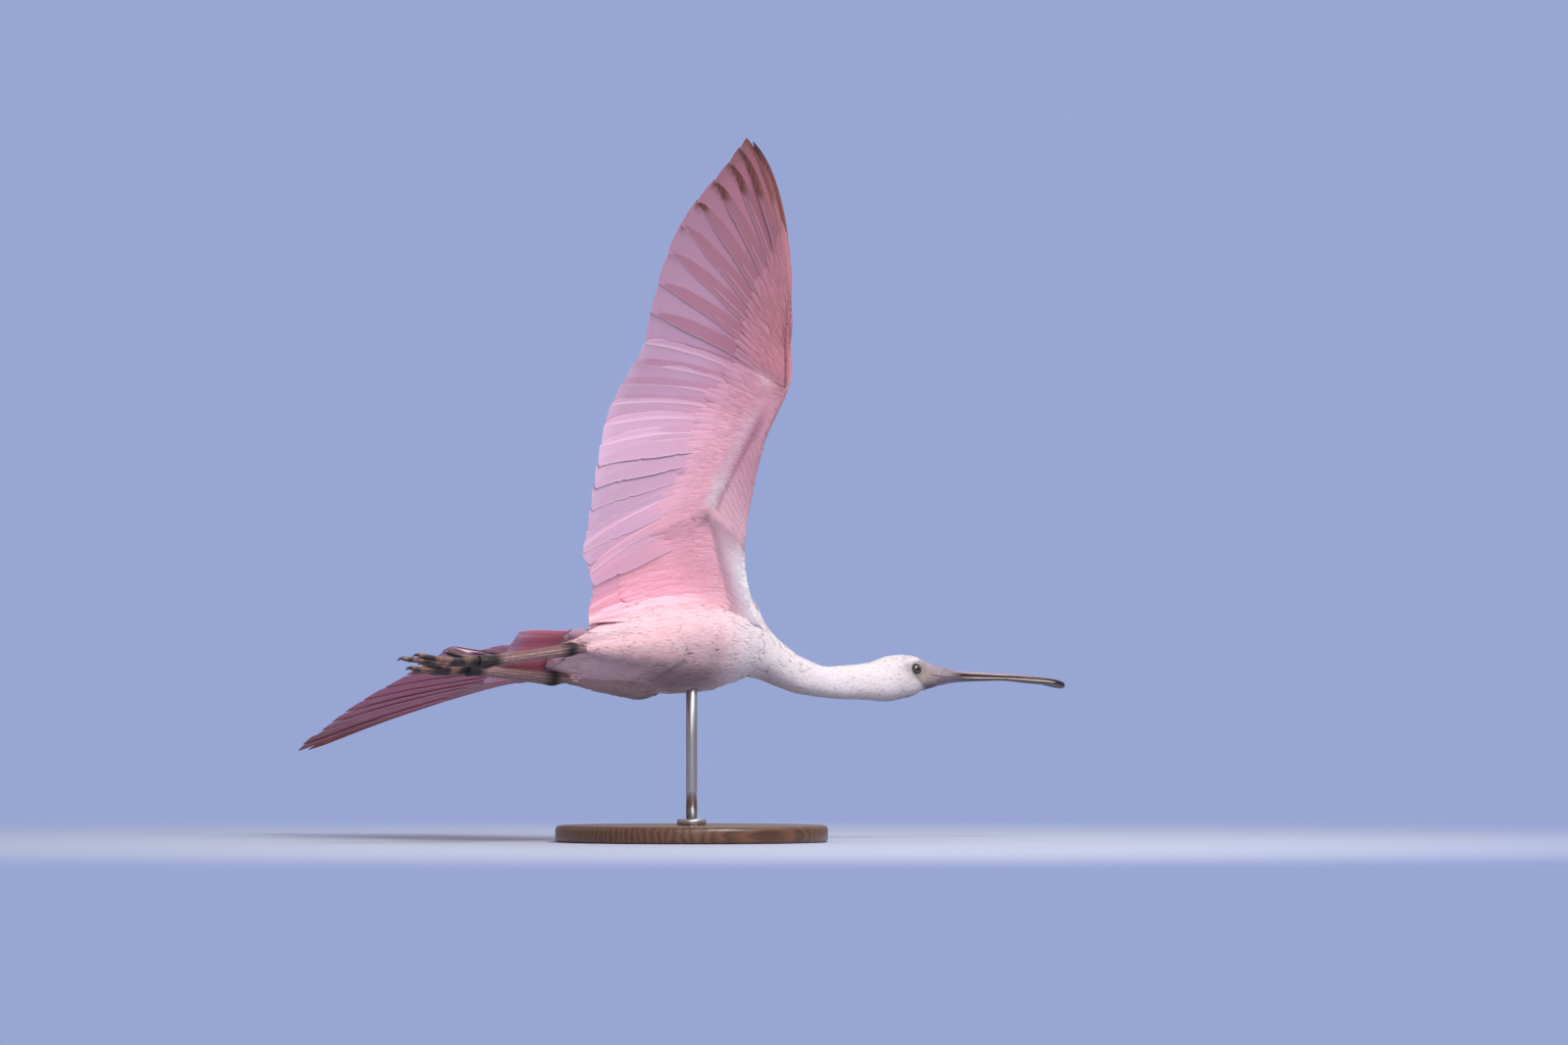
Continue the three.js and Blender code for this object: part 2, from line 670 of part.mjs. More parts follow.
parts.trunk = [trunk, LOOK.plume];
const SPLIT = 17.6; // the wrist, between the innermost primary and the outermost secondary
const neckGrown = (() => {
  const first = trunkRing(TRUNK_FRONT - 1, GAP);
  const xs = [50, 64, 80, 96, 114];
  return loft([
    first.map((p) => V(p.x, p.y, p.z)),
    ...xs.map((x) => {
      const r = neckRing(x, GAP, TRUNK_SIDES);
      const k = [0, 1, -1, 2, -2, 3, -3].sort(
        (a, b) =>
          r.reduce((s, _, j) => s + r[(j + a + TRUNK_SIDES) % TRUNK_SIDES].distanceTo(first[j]), 0) -
          r.reduce((s, _, j) => s + r[(j + b + TRUNK_SIDES) % TRUNK_SIDES].distanceTo(first[j]), 0),
      )[0];
      return r.map((_, j) => r[(j + k + TRUNK_SIDES) % TRUNK_SIDES]);
    }),
  ]);
})();
for (const side of ["right", "left"]) {
  const e = 0.012; // the gap at the wrist, in feathers
  const gapRow = 0.0055;
  const cut = (s) => main(s.subtract(trunkGrown).subtract(neckGrown));
  parts["wing_" + side + "_arm"] = [cut(wingSolid(side, -1, SPLIT - e, ARM_ROWS, 1, 0, gapRow)), LOOK.plume];
  parts["wing_" + side + "_secondaries"] = [cut(wingSolid(side, -1, SPLIT - e, VANE_ROWS, 0.5, gapRow)), LOOK.flight];
  parts["wing_" + side + "_hand"] = [wingSolid(side, SPLIT + e, FEATHERS - 1, ARM_ROWS, 1, 0, gapRow), LOOK.plume];
  parts["wing_" + side + "_primaries"] = [wingSolid(side, SPLIT + e, FEATHERS - 1, VANE_ROWS, 0.5, gapRow), LOOK.flight];
}
parts.neck = [neck, LOOK.white];
parts.head = [headSolid(), LOOK.white];
parts.eye_right = [eyeSolid(-1), LOOK.eye];
parts.eye_left = [eyeSolid(1), LOOK.eye];
parts.bill_upper = [billHalf(true), LOOK.bill];
parts.bill_lower = [billHalf(false), LOOK.bill];
parts.tail = [main(tailCut.subtract(trunkGrown)), LOOK.tail];
for (const side of ["right", "left"]) {
  parts["leg_" + side + "_thigh"] = [main(mirrored(thighSolid(side), side).subtract(trunkGrown)), LOOK.plume];
  parts["leg_" + side + "_shank"] = [mirrored(shankSolid(side), side), LOOK.leg];
  parts["leg_" + side + "_foot"] = [mirrored(footSolid(side), side), LOOK.foot];
}
for (const [name, [s, look]] of Object.entries(parts)) bankGroup.add(node(name, s, look));

// ---------------------------------------------------------------- stand
const baseProfile = [
  [0, 0],
  [BASE_RADIUS, 0],
  [BASE_RADIUS, BASE_THICK - BASE_EDGE],
  [BASE_RADIUS - BASE_EDGE * 0.3, BASE_THICK - BASE_EDGE * 0.3],
  [BASE_RADIUS - BASE_EDGE, BASE_THICK],
  [0, BASE_THICK],
].map(([r, z]) => new THREE.Vector2(r, z));
const upright = (g) => g.rotateX(Math.PI / 2);
const base = solidOf(upright(new THREE.LatheGeometry(baseProfile, 40)));
const cylinder = (radius, z0, z1, sides) =>
  solidOf(upright(new THREE.CylinderGeometry(radius, radius, z1 - z0, sides)).translate(ROD_AT[0], ROD_AT[1], (z0 + z1) / 2));
const inWorld = (s) => {
  const m = s.getMesh();
  const g = geometryOf(s).applyMatrix4(toWorld);
  return solid(Array.from(g.attributes.position.array), Array.from(m.triVerts));
};
const rodTop = SHOULDER_AT[2] - 20;
const rod = main(cylinder(ROD_RADIUS, BASE_THICK + COLLAR_HEIGHT + GAP, rodTop, 16).subtract(inWorld(trunkGrown)));
spoonbill.add(node("stand_base", base, LOOK.wood));
spoonbill.add(node("stand_collar", cylinder(COLLAR_RADIUS, BASE_THICK + GAP, BASE_THICK + COLLAR_HEIGHT, 20), LOOK.steel));
spoonbill.add(node("stand_rod", rod, LOOK.steel));

export default spoonbill;
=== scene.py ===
import json
import math

import bpy
import numpy as np
from mathutils import Matrix, Vector
from mathutils.kdtree import KDTree

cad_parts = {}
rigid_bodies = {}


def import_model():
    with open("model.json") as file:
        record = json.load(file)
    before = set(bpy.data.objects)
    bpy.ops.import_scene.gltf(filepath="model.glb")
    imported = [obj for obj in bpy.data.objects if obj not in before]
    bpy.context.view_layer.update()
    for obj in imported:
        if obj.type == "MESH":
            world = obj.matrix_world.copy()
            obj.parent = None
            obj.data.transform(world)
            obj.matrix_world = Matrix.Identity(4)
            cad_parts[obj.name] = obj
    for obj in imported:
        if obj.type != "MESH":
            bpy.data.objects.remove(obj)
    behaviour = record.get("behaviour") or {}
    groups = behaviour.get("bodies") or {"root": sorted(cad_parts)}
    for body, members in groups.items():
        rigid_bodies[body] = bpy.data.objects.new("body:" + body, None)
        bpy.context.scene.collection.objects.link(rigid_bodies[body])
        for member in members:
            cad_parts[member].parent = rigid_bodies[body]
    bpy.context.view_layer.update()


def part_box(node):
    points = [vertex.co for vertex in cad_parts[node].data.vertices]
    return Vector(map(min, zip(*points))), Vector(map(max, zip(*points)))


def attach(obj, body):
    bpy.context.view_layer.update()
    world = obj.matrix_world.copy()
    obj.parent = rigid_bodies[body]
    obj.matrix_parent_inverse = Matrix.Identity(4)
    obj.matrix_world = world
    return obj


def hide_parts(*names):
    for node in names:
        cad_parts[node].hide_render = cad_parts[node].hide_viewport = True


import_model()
scene = bpy.context.scene
rng = np.random.default_rng(417)

# ------------------------------------------------------------------ sizes, as in the solids (mm)
MM = 0.001
BANK = math.radians(39.93)
PITCH = math.radians(3.31)
SHOULDER = np.array([44.0, 26.0, 232.0])
BASE_RADIUS, BASE_THICK = 150.0, 18.0
ROD_RADIUS, COLLAR_RADIUS, COLLAR_HEIGHT = 6.0, 16.0, 7.0
EYE_RADIUS = 7.0
EYE_X, EYE_Z, EYE_OUT = 245.5, -43.5, 12.2
BILL_LENGTH = 158.0
BILL_START = 277.35

cb, sb, cp, sp = math.cos(BANK), math.sin(BANK), math.cos(PITCH), math.sin(PITCH)
ROT = np.array([[cp, 0, sp], [0, 1, 0], [-sp, 0, cp]]) @ np.array(
    [[1, 0, 0], [0, cb, sb], [0, -sb, cb]]
)


def to_level(p):
    return np.asarray(p, float) @ ROT.T


def to_body(p):
    return np.asarray(p, float) @ ROT


def to_world(p):
    return (np.asarray(p, float) + SHOULDER) * MM


def lin(r, g, b):
    c = np.array([r, g, b], float) / 255.0
    return np.where(c <= 0.04045, c / 12.92, ((c + 0.055) / 1.055) ** 2.4)


def keyed(rows, at):
    rows = np.asarray(rows, float)
    x, y = rows[:, 0], rows[:, 1:]
    c = np.clip(np.asarray(at, float), x[0], x[-1])
    k = np.clip(np.searchsorted(x, c, side="right") - 1, 0, len(x) - 2)
    m = np.empty_like(y)
    m[0] = (y[1] - y[0]) / (x[1] - x[0])
    m[-1] = (y[-1] - y[-2]) / (x[-1] - x[-2])
    m[1:-1] = (y[2:] - y[:-2]) / (x[2:] - x[:-2])[:, None]
    h = (x[k + 1] - x[k])[..., None]
    t = (c[..., None] - x[k][..., None]) / h
    t2, t3 = t * t, t * t * t
    return (
        (2 * t3 - 3 * t2 + 1) * y[k]
        + (t3 - 2 * t2 + t) * m[k] * h
        + (3 * t2 - 2 * t3) * y[k + 1]
        + (t3 - t2) * m[k + 1] * h
    )


def smooth(a, b, x):
    t = np.clip((np.asarray(x, float) - a) / (b - a), 0, 1)
    return t * t * (3 - 2 * t)


def unit(v):
    return v / np.maximum(np.linalg.norm(v, axis=-1, keepdims=True), 1e-9)


def mix(a, b, t):
    t = np.asarray(t, float)[..., None]
    return a * (1 - t) + b * t


def ripple(p, scale, seed=0):
    """Smooth repeatable noise, -1 to 1, from a few sine waves in fixed directions."""
    g = np.random.default_rng(seed)
    out = 0
    for k in range(5):
        d = unit(g.normal(size=3)) * (1 + 0.6 * k) / scale
        out = out + np.sin(p @ d * 2 * math.pi + g.uniform(0, 6.28)) / (1 + 0.5 * k)
    return out / 2.6


# ------------------------------------------------------------------ the shapes of the body
TRUNK = [
    [-232, -53, 16, 6, 5],
    [-220, -51.5, 27, 11, 7],
    [-205, -49.5, 36, 16, 11],
    [-185, -46.5, 42, 22, 20],
    [-160, -42, 47, 30, 29],
    [-130, -37, 51, 38, 38],
    [-100, -32, 54, 43, 45],
    [-70, -29, 56, 45, 48],
    [-40, -27, 56, 44, 47],
    [-10, -26, 52, 42, 44],
    [14, -26, 44, 38, 36],
    [30, -27, 37, 35, 30],
]
NECK = [
    [42, -17, 21, -53, 32, 0],
    [50, -17, 12, -54, 30, 0],
    [60, -17.3, 2, -57, 27.5, -1],
    [72, -17.8, -7.7, -61.5, 24.5, -2],
    [85, -18.3, -16.5, -66, 22, -3],
    [98, -18.8, -25, -70, 20, -3.5],
    [111, -19.3, -30.5, -72.5, 19, -4],
    [136, -20.8, -38.8, -75.8, 17.5, -5],
    [161, -22.3, -38.2, -77.8, 17.3, -6],
    [180, -23.6, -37, -78, 17.8, -7],
    [198, -25.5, -34.7, -79, 18.6, -7],
    [210, -27, -30.6, -80, 19.2, -7],
    [222, -28.5, -28.2, -79.2, 19.2, -7],
    [234, -29.9, -27.2, -77, 18.4, -7],
    [246, -31.4, -28.2, -74.6, 17, -7],
    [253, -32.1, -29.6, -71.5, 16, -7],
    [259, -32.9, -32.6, -68.4, 14.9, -7],
    [265, -33.6, -35.8, -66.2, 14, -7],
    [271, -34.3, -38, -64.8, 13.4, -7],
    [277, -35.1, -40.1, -63, 13, -7],
]
BILL = [
    [0, 13.2, -40.6, -51.6, -62.4],
    [0.06, 11.6, -42.2, -51.7, -60.8],
    [0.14, 10.2, -45.6, -51.9, -58.6],
    [0.24, 9.2, -47.3, -52.4, -57.8],
    [0.36, 8.8, -48.3, -53.0, -57.4],
    [0.48, 9.4, -49.6, -53.4, -57.0],
    [0.58, 11.2, -50.2, -53.9, -57.3],
    [0.67, 14.4, -51.2, -54.8, -58.9],
    [0.76, 18.8, -52.2, -55.8, -60.3],
    [0.84, 22.4, -53.6, -57.0, -61.3],
    [0.9, 23.5, -55.0, -58.4, -61.9],
    [0.95, 21.6, -57.0, -60.6, -63.9],
    [0.985, 15.0, -58.8, -62.6, -65.4],
    [1, 7.0, -60.2, -64.0, -66.2],
]
WING = {
    "right": dict(
        sign=-1, droop=0, pts=[(0, 44, 0), (-66, 137, 45), (13, 245, 140), (-14, 346, 193)]
    ),
    "left": dict(
        sign=1, droop=1, pts=[(0, 44, 0), (-65, 136, 49), (16, 238, 145), (-12, 337, 201)]
    ),
}
TIPS = [
    [-1, -199, -2, -32],
    [0, -171, -42, -21],
    [4, -134, -78, -36],
    [6, -158, -75, -36],
    [8, -166, -70, -33],
    [11, -185, -37, -9],
    [14, -189, -14, 22],
    [17, -185, 28, 36],
    [18, -193, 53, 43],
    [21, -192, 132, 60],
    [24, -160, 184, 61],
    [26, -148, 196, 55],
    [27, -134, 184, 50],
]
DROOP = [
    [8, 0],
    [9, -2],
    [11, -9],
    [14, -16],
    [17, -19],
    [19, -22],
    [21.5, -19],
    [24, -4],
    [25, 0],
]
EDGE = [
    [-1, 50, -6, -4],
    [0, 38, -8, -7],
    [1, 39, -10, -7.5],
    [2, 43, -13, -8.5],
    [3, 52, -19, -10.5],
    [4, 61, -26, -13],
    [5, 55, -28, -15],
    [6, 48, -30, -17.5],
    [8, 35, -32, -21],
    [10, 24.5, -24, -15],
    [12, 15, -15, -10],
    [14, 8, -6, -7],
    [17, 8, 4, 1],
    [18, 7, 13, 8],
    [21, 1, 15, 4],
    [24, 0, 12, 3],
    [27, 1, 2.5, 1],
]
BUILD = [
    [-1, 16, 20, 7, 3, 0.015, 1.6],
    [0, 14, 17, 8, 4, 0.02, 1.5],
    [4, 10, 11, 9, 8, 0.025, 1.2],
    [11, 8.5, 8.5, 9, 9, 0.025, 1.1],
    [17, 6.5, 6.5, 8, 6, 0.02, 1.0],
    [21, 4.4, 4.4, 9, 4, 0.02, 1.0],
    [24, 3.2, 3.2, 11, 8, 0.03, 0.9],
    [27, 2.2, 2.2, 13, 15, 0.04, 0.9],
]
THICK = [
    [0, 0.1],
    [0.08, 0.55],
    [0.3, 1],
    [0.65, 0.95],
    [1, 0.7],
    [1.13, 0.46],
    [1.3, 0.2],
    [1.5, 0.06],
    [1.7, 0],
    [2, 0],
]
TAIL = dict(root_x=-206, root_z=-43.5, root_half=35, tip_x=-298, tip_z=-58.5, tip_half=49)
LEG = {
    "right": dict(sign=-1, heel=(-224, 26, -64), foot=(-347, 20, -86), toes=(-447, 14, -83)),
    "left": dict(sign=1, heel=(-219, 26, -63), foot=(-335, 16, -66), toes=(-418, 13, -72)),
}
HIP = np.array([-82.0, 27, -54])
HIP_RADIUS = 25.0


def trunk_surface(x, th, inset=0.0):
    k = keyed(TRUNK, x)
    s, c = np.sin(th), np.cos(th)
    h = np.where(s > 0, k[..., 2], k[..., 3])
    return to_level(
        np.stack([x + 0 * th, (k[..., 1] - inset) * c, k[..., 0] + (h - inset) * s], -1)
    )


def neck_surface(x, th, inset=0.0):
    k = keyed(NECK, x)
    y, top, bottom, a, turn = [k[..., i] for i in range(5)]
    turn = np.radians(turn)
    cz, h = (top + bottom) / 2, (top - bottom) / 2 - inset
    w = (a - inset) * np.cos(th)
    return np.stack([x - np.sin(turn) * w, y + np.cos(turn) * w, cz + h * np.sin(th)], -1)


def head_at(x, sideways, z):
    k = keyed(NECK, np.asarray(x, float))
    turn = np.radians(k[..., 4])
    return np.stack(
        [
            x - np.sin(turn) * sideways,
            k[..., 0] + np.cos(turn) * sideways,
            z + 0 * np.asarray(sideways, float),
        ],
        -1,
    )


def quill(side, w):
    s, e, wr, k = [np.array(p, float) for p in WING[side]["pts"]]
    knots = [-1, 0, 4, 17.5, 26.7]
    pts = np.array([[0, 38, -2], s + 0.2 * (e - s), e, wr, k])
    return np.stack([np.interp(w, knots, pts[:, i]) for i in range(3)], -1)


def wing_point(side, w, r, share=1.0):
    """The wing's middle surface, outward y: w across the feathers, r from the leading edge (0)
    over the quill's root (1) to the feather's tip (2)."""
    w, r = np.broadcast_arrays(np.asarray(w, float), np.asarray(r, float))
    root = quill(side, w)
    vec = keyed(TIPS, w).copy()
    vec[..., 2] += WING[side]["droop"] * keyed(DROOP, w)[..., 0]
    edge = keyed(EDGE, w)
    b = keyed(BUILD, w)
    camber, bend = b[..., 2], b[..., 3]
    lv, le = np.linalg.norm(vec, axis=-1), np.linalg.norm(edge, axis=-1)
    chord = lv + le
    f = np.maximum(r - 1, 0) * share
    g = np.maximum(1 - r, 0)
    across = unit(np.stack([-vec[..., 1], vec[..., 0], 0 * vec[..., 0]], -1))
    across = np.where(across[..., 1:2] < 0, -across, across)
    c = np.where(r <= 1, le * r / chord, (le + lv * f) / chord)
    p = (
        root
        + edge * g[..., None]
        + vec * f[..., None]
        + across * (bend * 4 * f * (1 - f))[..., None]
    )
    p = p.copy()
    p[..., 2] += camber * 4 * c * (1 - c)
    return p


def wing_normal(side, w, r):
    w, r = np.broadcast_arrays(np.asarray(w, float), np.asarray(r, float))
    du = wing_point(side, np.minimum(w + 0.5, 27), r) - wing_point(
        side, np.maximum(w - 0.5, -1), r
    )
    dr = wing_point(side, w, np.minimum(r + 0.02, 2)) - wing_point(
        side, w, np.maximum(r - 0.02, 0)
    )
    n = unit(np.cross(dr, du))
    n = np.where(n[..., 2:3] < 0, -n, n)
    return n, unit(dr), unit(du)


def wing_thick(w, r):
    b = keyed(BUILD, w)
    p = keyed(THICK, r)[..., 0]
    vane = b[..., 5] * np.where(r > 1.5, 1 - 0.9 * (r - 1.5), 1)
    return p * b[..., 0] + vane, p * b[..., 1] + vane


def wing_level(side, p):
    q = np.array(p, float)
    q[..., 1] *= WING[side]["sign"]
    return to_level(q)


def wing_skin(side, w, r, upper, inset=0.0):
    n, _, _ = wing_normal(side, w, r)
    up, down = wing_thick(w, r)
    p = wing_point(side, w, r)
    if upper:
        return wing_level(side, p + n * (up - inset)[..., None])
    return wing_level(side, p - n * (down - inset)[..., None])


def thigh_surface(side, t, th, inset=0.0):
    leg = LEG[side]
    heel = np.array(leg["heel"], float)
    end = HIP + (heel - HIP) * 0.9
    rad = (
        keyed(
            [[0, 0.8], [0.16, 1], [0.4, 0.86], [0.7, 0.6], [0.9, 0.376], [1, 0.3]], t
        )[..., 0]
        * HIP_RADIUS
        - inset
    )
    d = unit(end - HIP)
    sd = unit(np.array([0, 1, 0]) - d * d[1])
    up = np.cross(d, sd)
    p = (
        HIP
        + (end - HIP) * np.asarray(t, float)[..., None]
        + sd * (rad * np.cos(th))[..., None]
        + up * (rad * np.sin(th))[..., None]
    )
    q = np.array(p)
    q[..., 1] *= leg["sign"]
    return to_level(q)


# ------------------------------------------------------------------ mesh helpers
PIECES = {}


def add_mesh(name, co, quads=None, tris=None, color=None, uv=None, loop_uv=None, vane=None, normals=None):
    """A mesh object from level-frame millimetres."""
    quads = np.zeros((0, 4), int) if quads is None else np.asarray(quads, int).reshape(-1, 4)
    tris = np.zeros((0, 3), int) if tris is None else np.asarray(tris, int).reshape(-1, 3)
    me = bpy.data.meshes.new(name)
    co = to_world(co)
    me.vertices.add(len(co))
    me.vertices.foreach_set("co", co.astype(np.float32).ravel())
    loops = np.concatenate([quads.ravel(), tris.ravel()]).astype(np.int32)
    me.loops.add(len(loops))
    me.loops.foreach_set("vertex_index", loops)
    starts = np.concatenate(
        [np.arange(len(quads)) * 4, len(quads) * 4 + np.arange(len(tris)) * 3]
    ).astype(np.int32)
    me.polygons.add(len(starts))
    me.polygons.foreach_set("loop_start", starts)
    me.polygons.foreach_set("use_smooth", np.ones(len(starts), bool))
    me.update(calc_edges=True)
    if color is not None:
        c = np.ones((len(co), 4), np.float32)
        c[:, :3] = np.clip(color, 0.001, 1)
        a = me.color_attributes.new(name="tint", type="FLOAT_COLOR", domain="POINT")
        a.data.foreach_set("color", c.ravel())
    layer = me.uv_layers.new(name="OFBake")
    if loop_uv is None:
        loop_uv = (np.zeros((len(co), 2)) if uv is None else uv)[loops]
    layer.data.foreach_set("uv", np.asarray(loop_uv, np.float32).ravel())
    if vane is not None:
        layer = me.uv_layers.new(name="vane")
        layer.data.foreach_set("uv", np.asarray(vane, np.float32)[loops].ravel())
    me.uv_layers["OFBake"].active = True
    if normals is not None:
        me.normals_split_custom_set(np.asarray(normals, np.float32))
    ob = bpy.data.objects.new(name, me)
    scene.collection.objects.link(ob)
    PIECES[name] = ob
    return ob


def grid_faces(m, n, wrap=False, offset=0, flip=False):
    i, j = np.meshgrid(np.arange(m - 1), np.arange(n if wrap else n - 1), indexing="ij")
    j2 = (j + 1) % n
    q = np.stack([i * n + j, i * n + j2, (i + 1) * n + j2, (i + 1) * n + j], -1).reshape(-1, 4)
    return (q[:, ::-1] if flip else q) + offset


def closed_loft(rings, color=None):
    """(points, quads, tris) of a closed tube through rings of shape (m, n, 3)."""
    m, n, _ = rings.shape
    co = np.concatenate([rings.reshape(-1, 3), rings[0].mean(0)[None], rings[-1].mean(0)[None]])
    q = grid_faces(m, n, wrap=True)
    j = np.arange(n)
    a = np.stack([(j + 1) % n, j, np.full(n, m * n)], -1)
    b = np.stack([(m - 1) * n + j, (m - 1) * n + (j + 1) % n, np.full(n, m * n + 1)], -1)
    tris = np.concatenate([a, b])
    v = co[q[:, 0]]
    vol = np.einsum("ij,ij->i", v, np.cross(co[q[:, 1]], co[q[:, 2]])).sum()
    vol += np.einsum("ij,ij->i", v, np.cross(co[q[:, 2]], co[q[:, 3]])).sum()
    c = co.mean(0)
    vv = co - c
    vol = np.einsum("ij,ij->i", vv[q[:, 0]], np.cross(vv[q[:, 1]], vv[q[:, 2]])).sum()
    vol += np.einsum("ij,ij->i", vv[q[:, 0]], np.cross(vv[q[:, 2]], vv[q[:, 3]])).sum()
    if vol < 0:
        q, tris = q[:, ::-1], tris[:, ::-1]
    return co, q, tris


# ------------------------------------------------------------------ colours (sRGB as seen, turned linear)
WHITE = lin(228, 220, 226)
CREAM = lin(230, 219, 217)
BLUSH = lin(234, 198, 207)
BELLY = lin(222, 184, 191)
BELLY_GREY_AND_SHADE = lin(174, 148, 156)
SALMON = lin(244, 176, 192)
ROSE = lin(226, 160, 182)
MAUVE = lin(206, 154, 176)
LILAC = lin(224, 188, 220)
LILAC_DEEP = lin(206, 158, 190)
HAND_PINK = lin(196, 134, 156)
STRIPE = lin(216, 196, 212)
GREY_PATCH = lin(150, 118, 130)
EDGE_ORANGE = lin(240, 160, 150)
BROWN = lin(104, 62, 54)
BROWN_LIGHT = lin(140, 92, 80)
FACE = lin(150, 136, 137)


def trunk_color(p_body):
    x, y, z = p_body[..., 0], p_body[..., 1], p_body[..., 2]
    k = keyed(TRUNK, x)
    up = np.clip((z - k[..., 0]) / 40, -1.2, 1.2)  # -1 belly, +1 back
    c = mix(BELLY, BLUSH, smooth(-0.75, 0.1, up))
    # greyer towards the belly, partly the belly's own grey and partly painted shade; the bottom edge much darker still,
    # painted shade
    c = mix(c, BELLY_GREY_AND_SHADE, smooth(-0.4, -0.95, up) * 0.6)
    c = mix(c, lin(104, 84, 92), smooth(-0.9, -1.18, up) * 0.8)
    c = mix(c, WHITE, smooth(-30, 26, x) * 0.62)
    c = mix(c, lin(244, 216, 224), smooth(0.3, 0.9, up) * 0.8)
    side = smooth(0.0, 0.6, up) * smooth(-150, -60, x) * smooth(40, -10, x)
    c = mix(c, SALMON, side * 0.35)
    c = mix(c, lin(226, 172, 184), smooth(-175, -222, x) * smooth(-0.4, 0.2, up) * 0.4)
    # greyer under the rear of the body, partly the feathers' own grey and partly painted shade between the legs
    c = mix(c, lin(190, 164, 170), smooth(-120, -175, x) * smooth(0.0, -0.35, up) * 0.5)
    long_ = np.asarray(p_body) * np.array([0.3, 1, 1])
    n = ripple(np.asarray(p_body), 34, 3) * 0.06 + ripple(long_, 7, 4) * 0.07 + ripple(long_, 3, 6) * 0.06
    return c * (1 + n[..., None])


def neck_color(p):
    x, z = p[..., 0], p[..., 2]
    k = keyed(NECK, x)
    cz = (k[..., 1] + k[..., 2]) / 2
    up = (z - cz) / np.maximum((k[..., 1] - k[..., 2]) / 2, 1)
    c = mix(WHITE, CREAM, 0.35 + 0.35 * ripple(p, 60, 5))
    # greyer along the neck's underside: painted shade
    c = mix(c, lin(160, 148, 152), smooth(-0.3, -1.0, up) * 0.8)
    c = mix(c, lin(230, 212, 218), smooth(70, 40, x) * 0.5)
    c = c * (1 - 0.09 * smooth(205, 235, x))[..., None]
    # painted shade behind the eye, and painted shade in small scalloped folds in the cheek
    behind = np.exp(-(((x - 235.5) / 3.6) ** 2) - (((z + 42.5) / 6.0) ** 2))
    c = mix(c, lin(138, 126, 146), np.clip(behind, 0, 1) * 0.7)
    cheek = np.exp(-(((x - 240) / 9) ** 2) - (((z + 57) / 6.5) ** 2))
    c = c * (1 - (0.11 * np.maximum(np.sin((x + z * 0.9) * 1.1), 0) * cheek))[..., None]
    speck = np.exp(-(((x - 250) / 3.5) ** 2) - (((z + 60) / 4) ** 2)) * (ripple(p, 1.6, 15) > 0.55)
    c = mix(c, lin(90, 80, 84), speck * 0.7)
    n = ripple(p, 22, 6) * 0.03 + ripple(p, 6, 7) * 0.03
    return c * (1 + n[..., None])


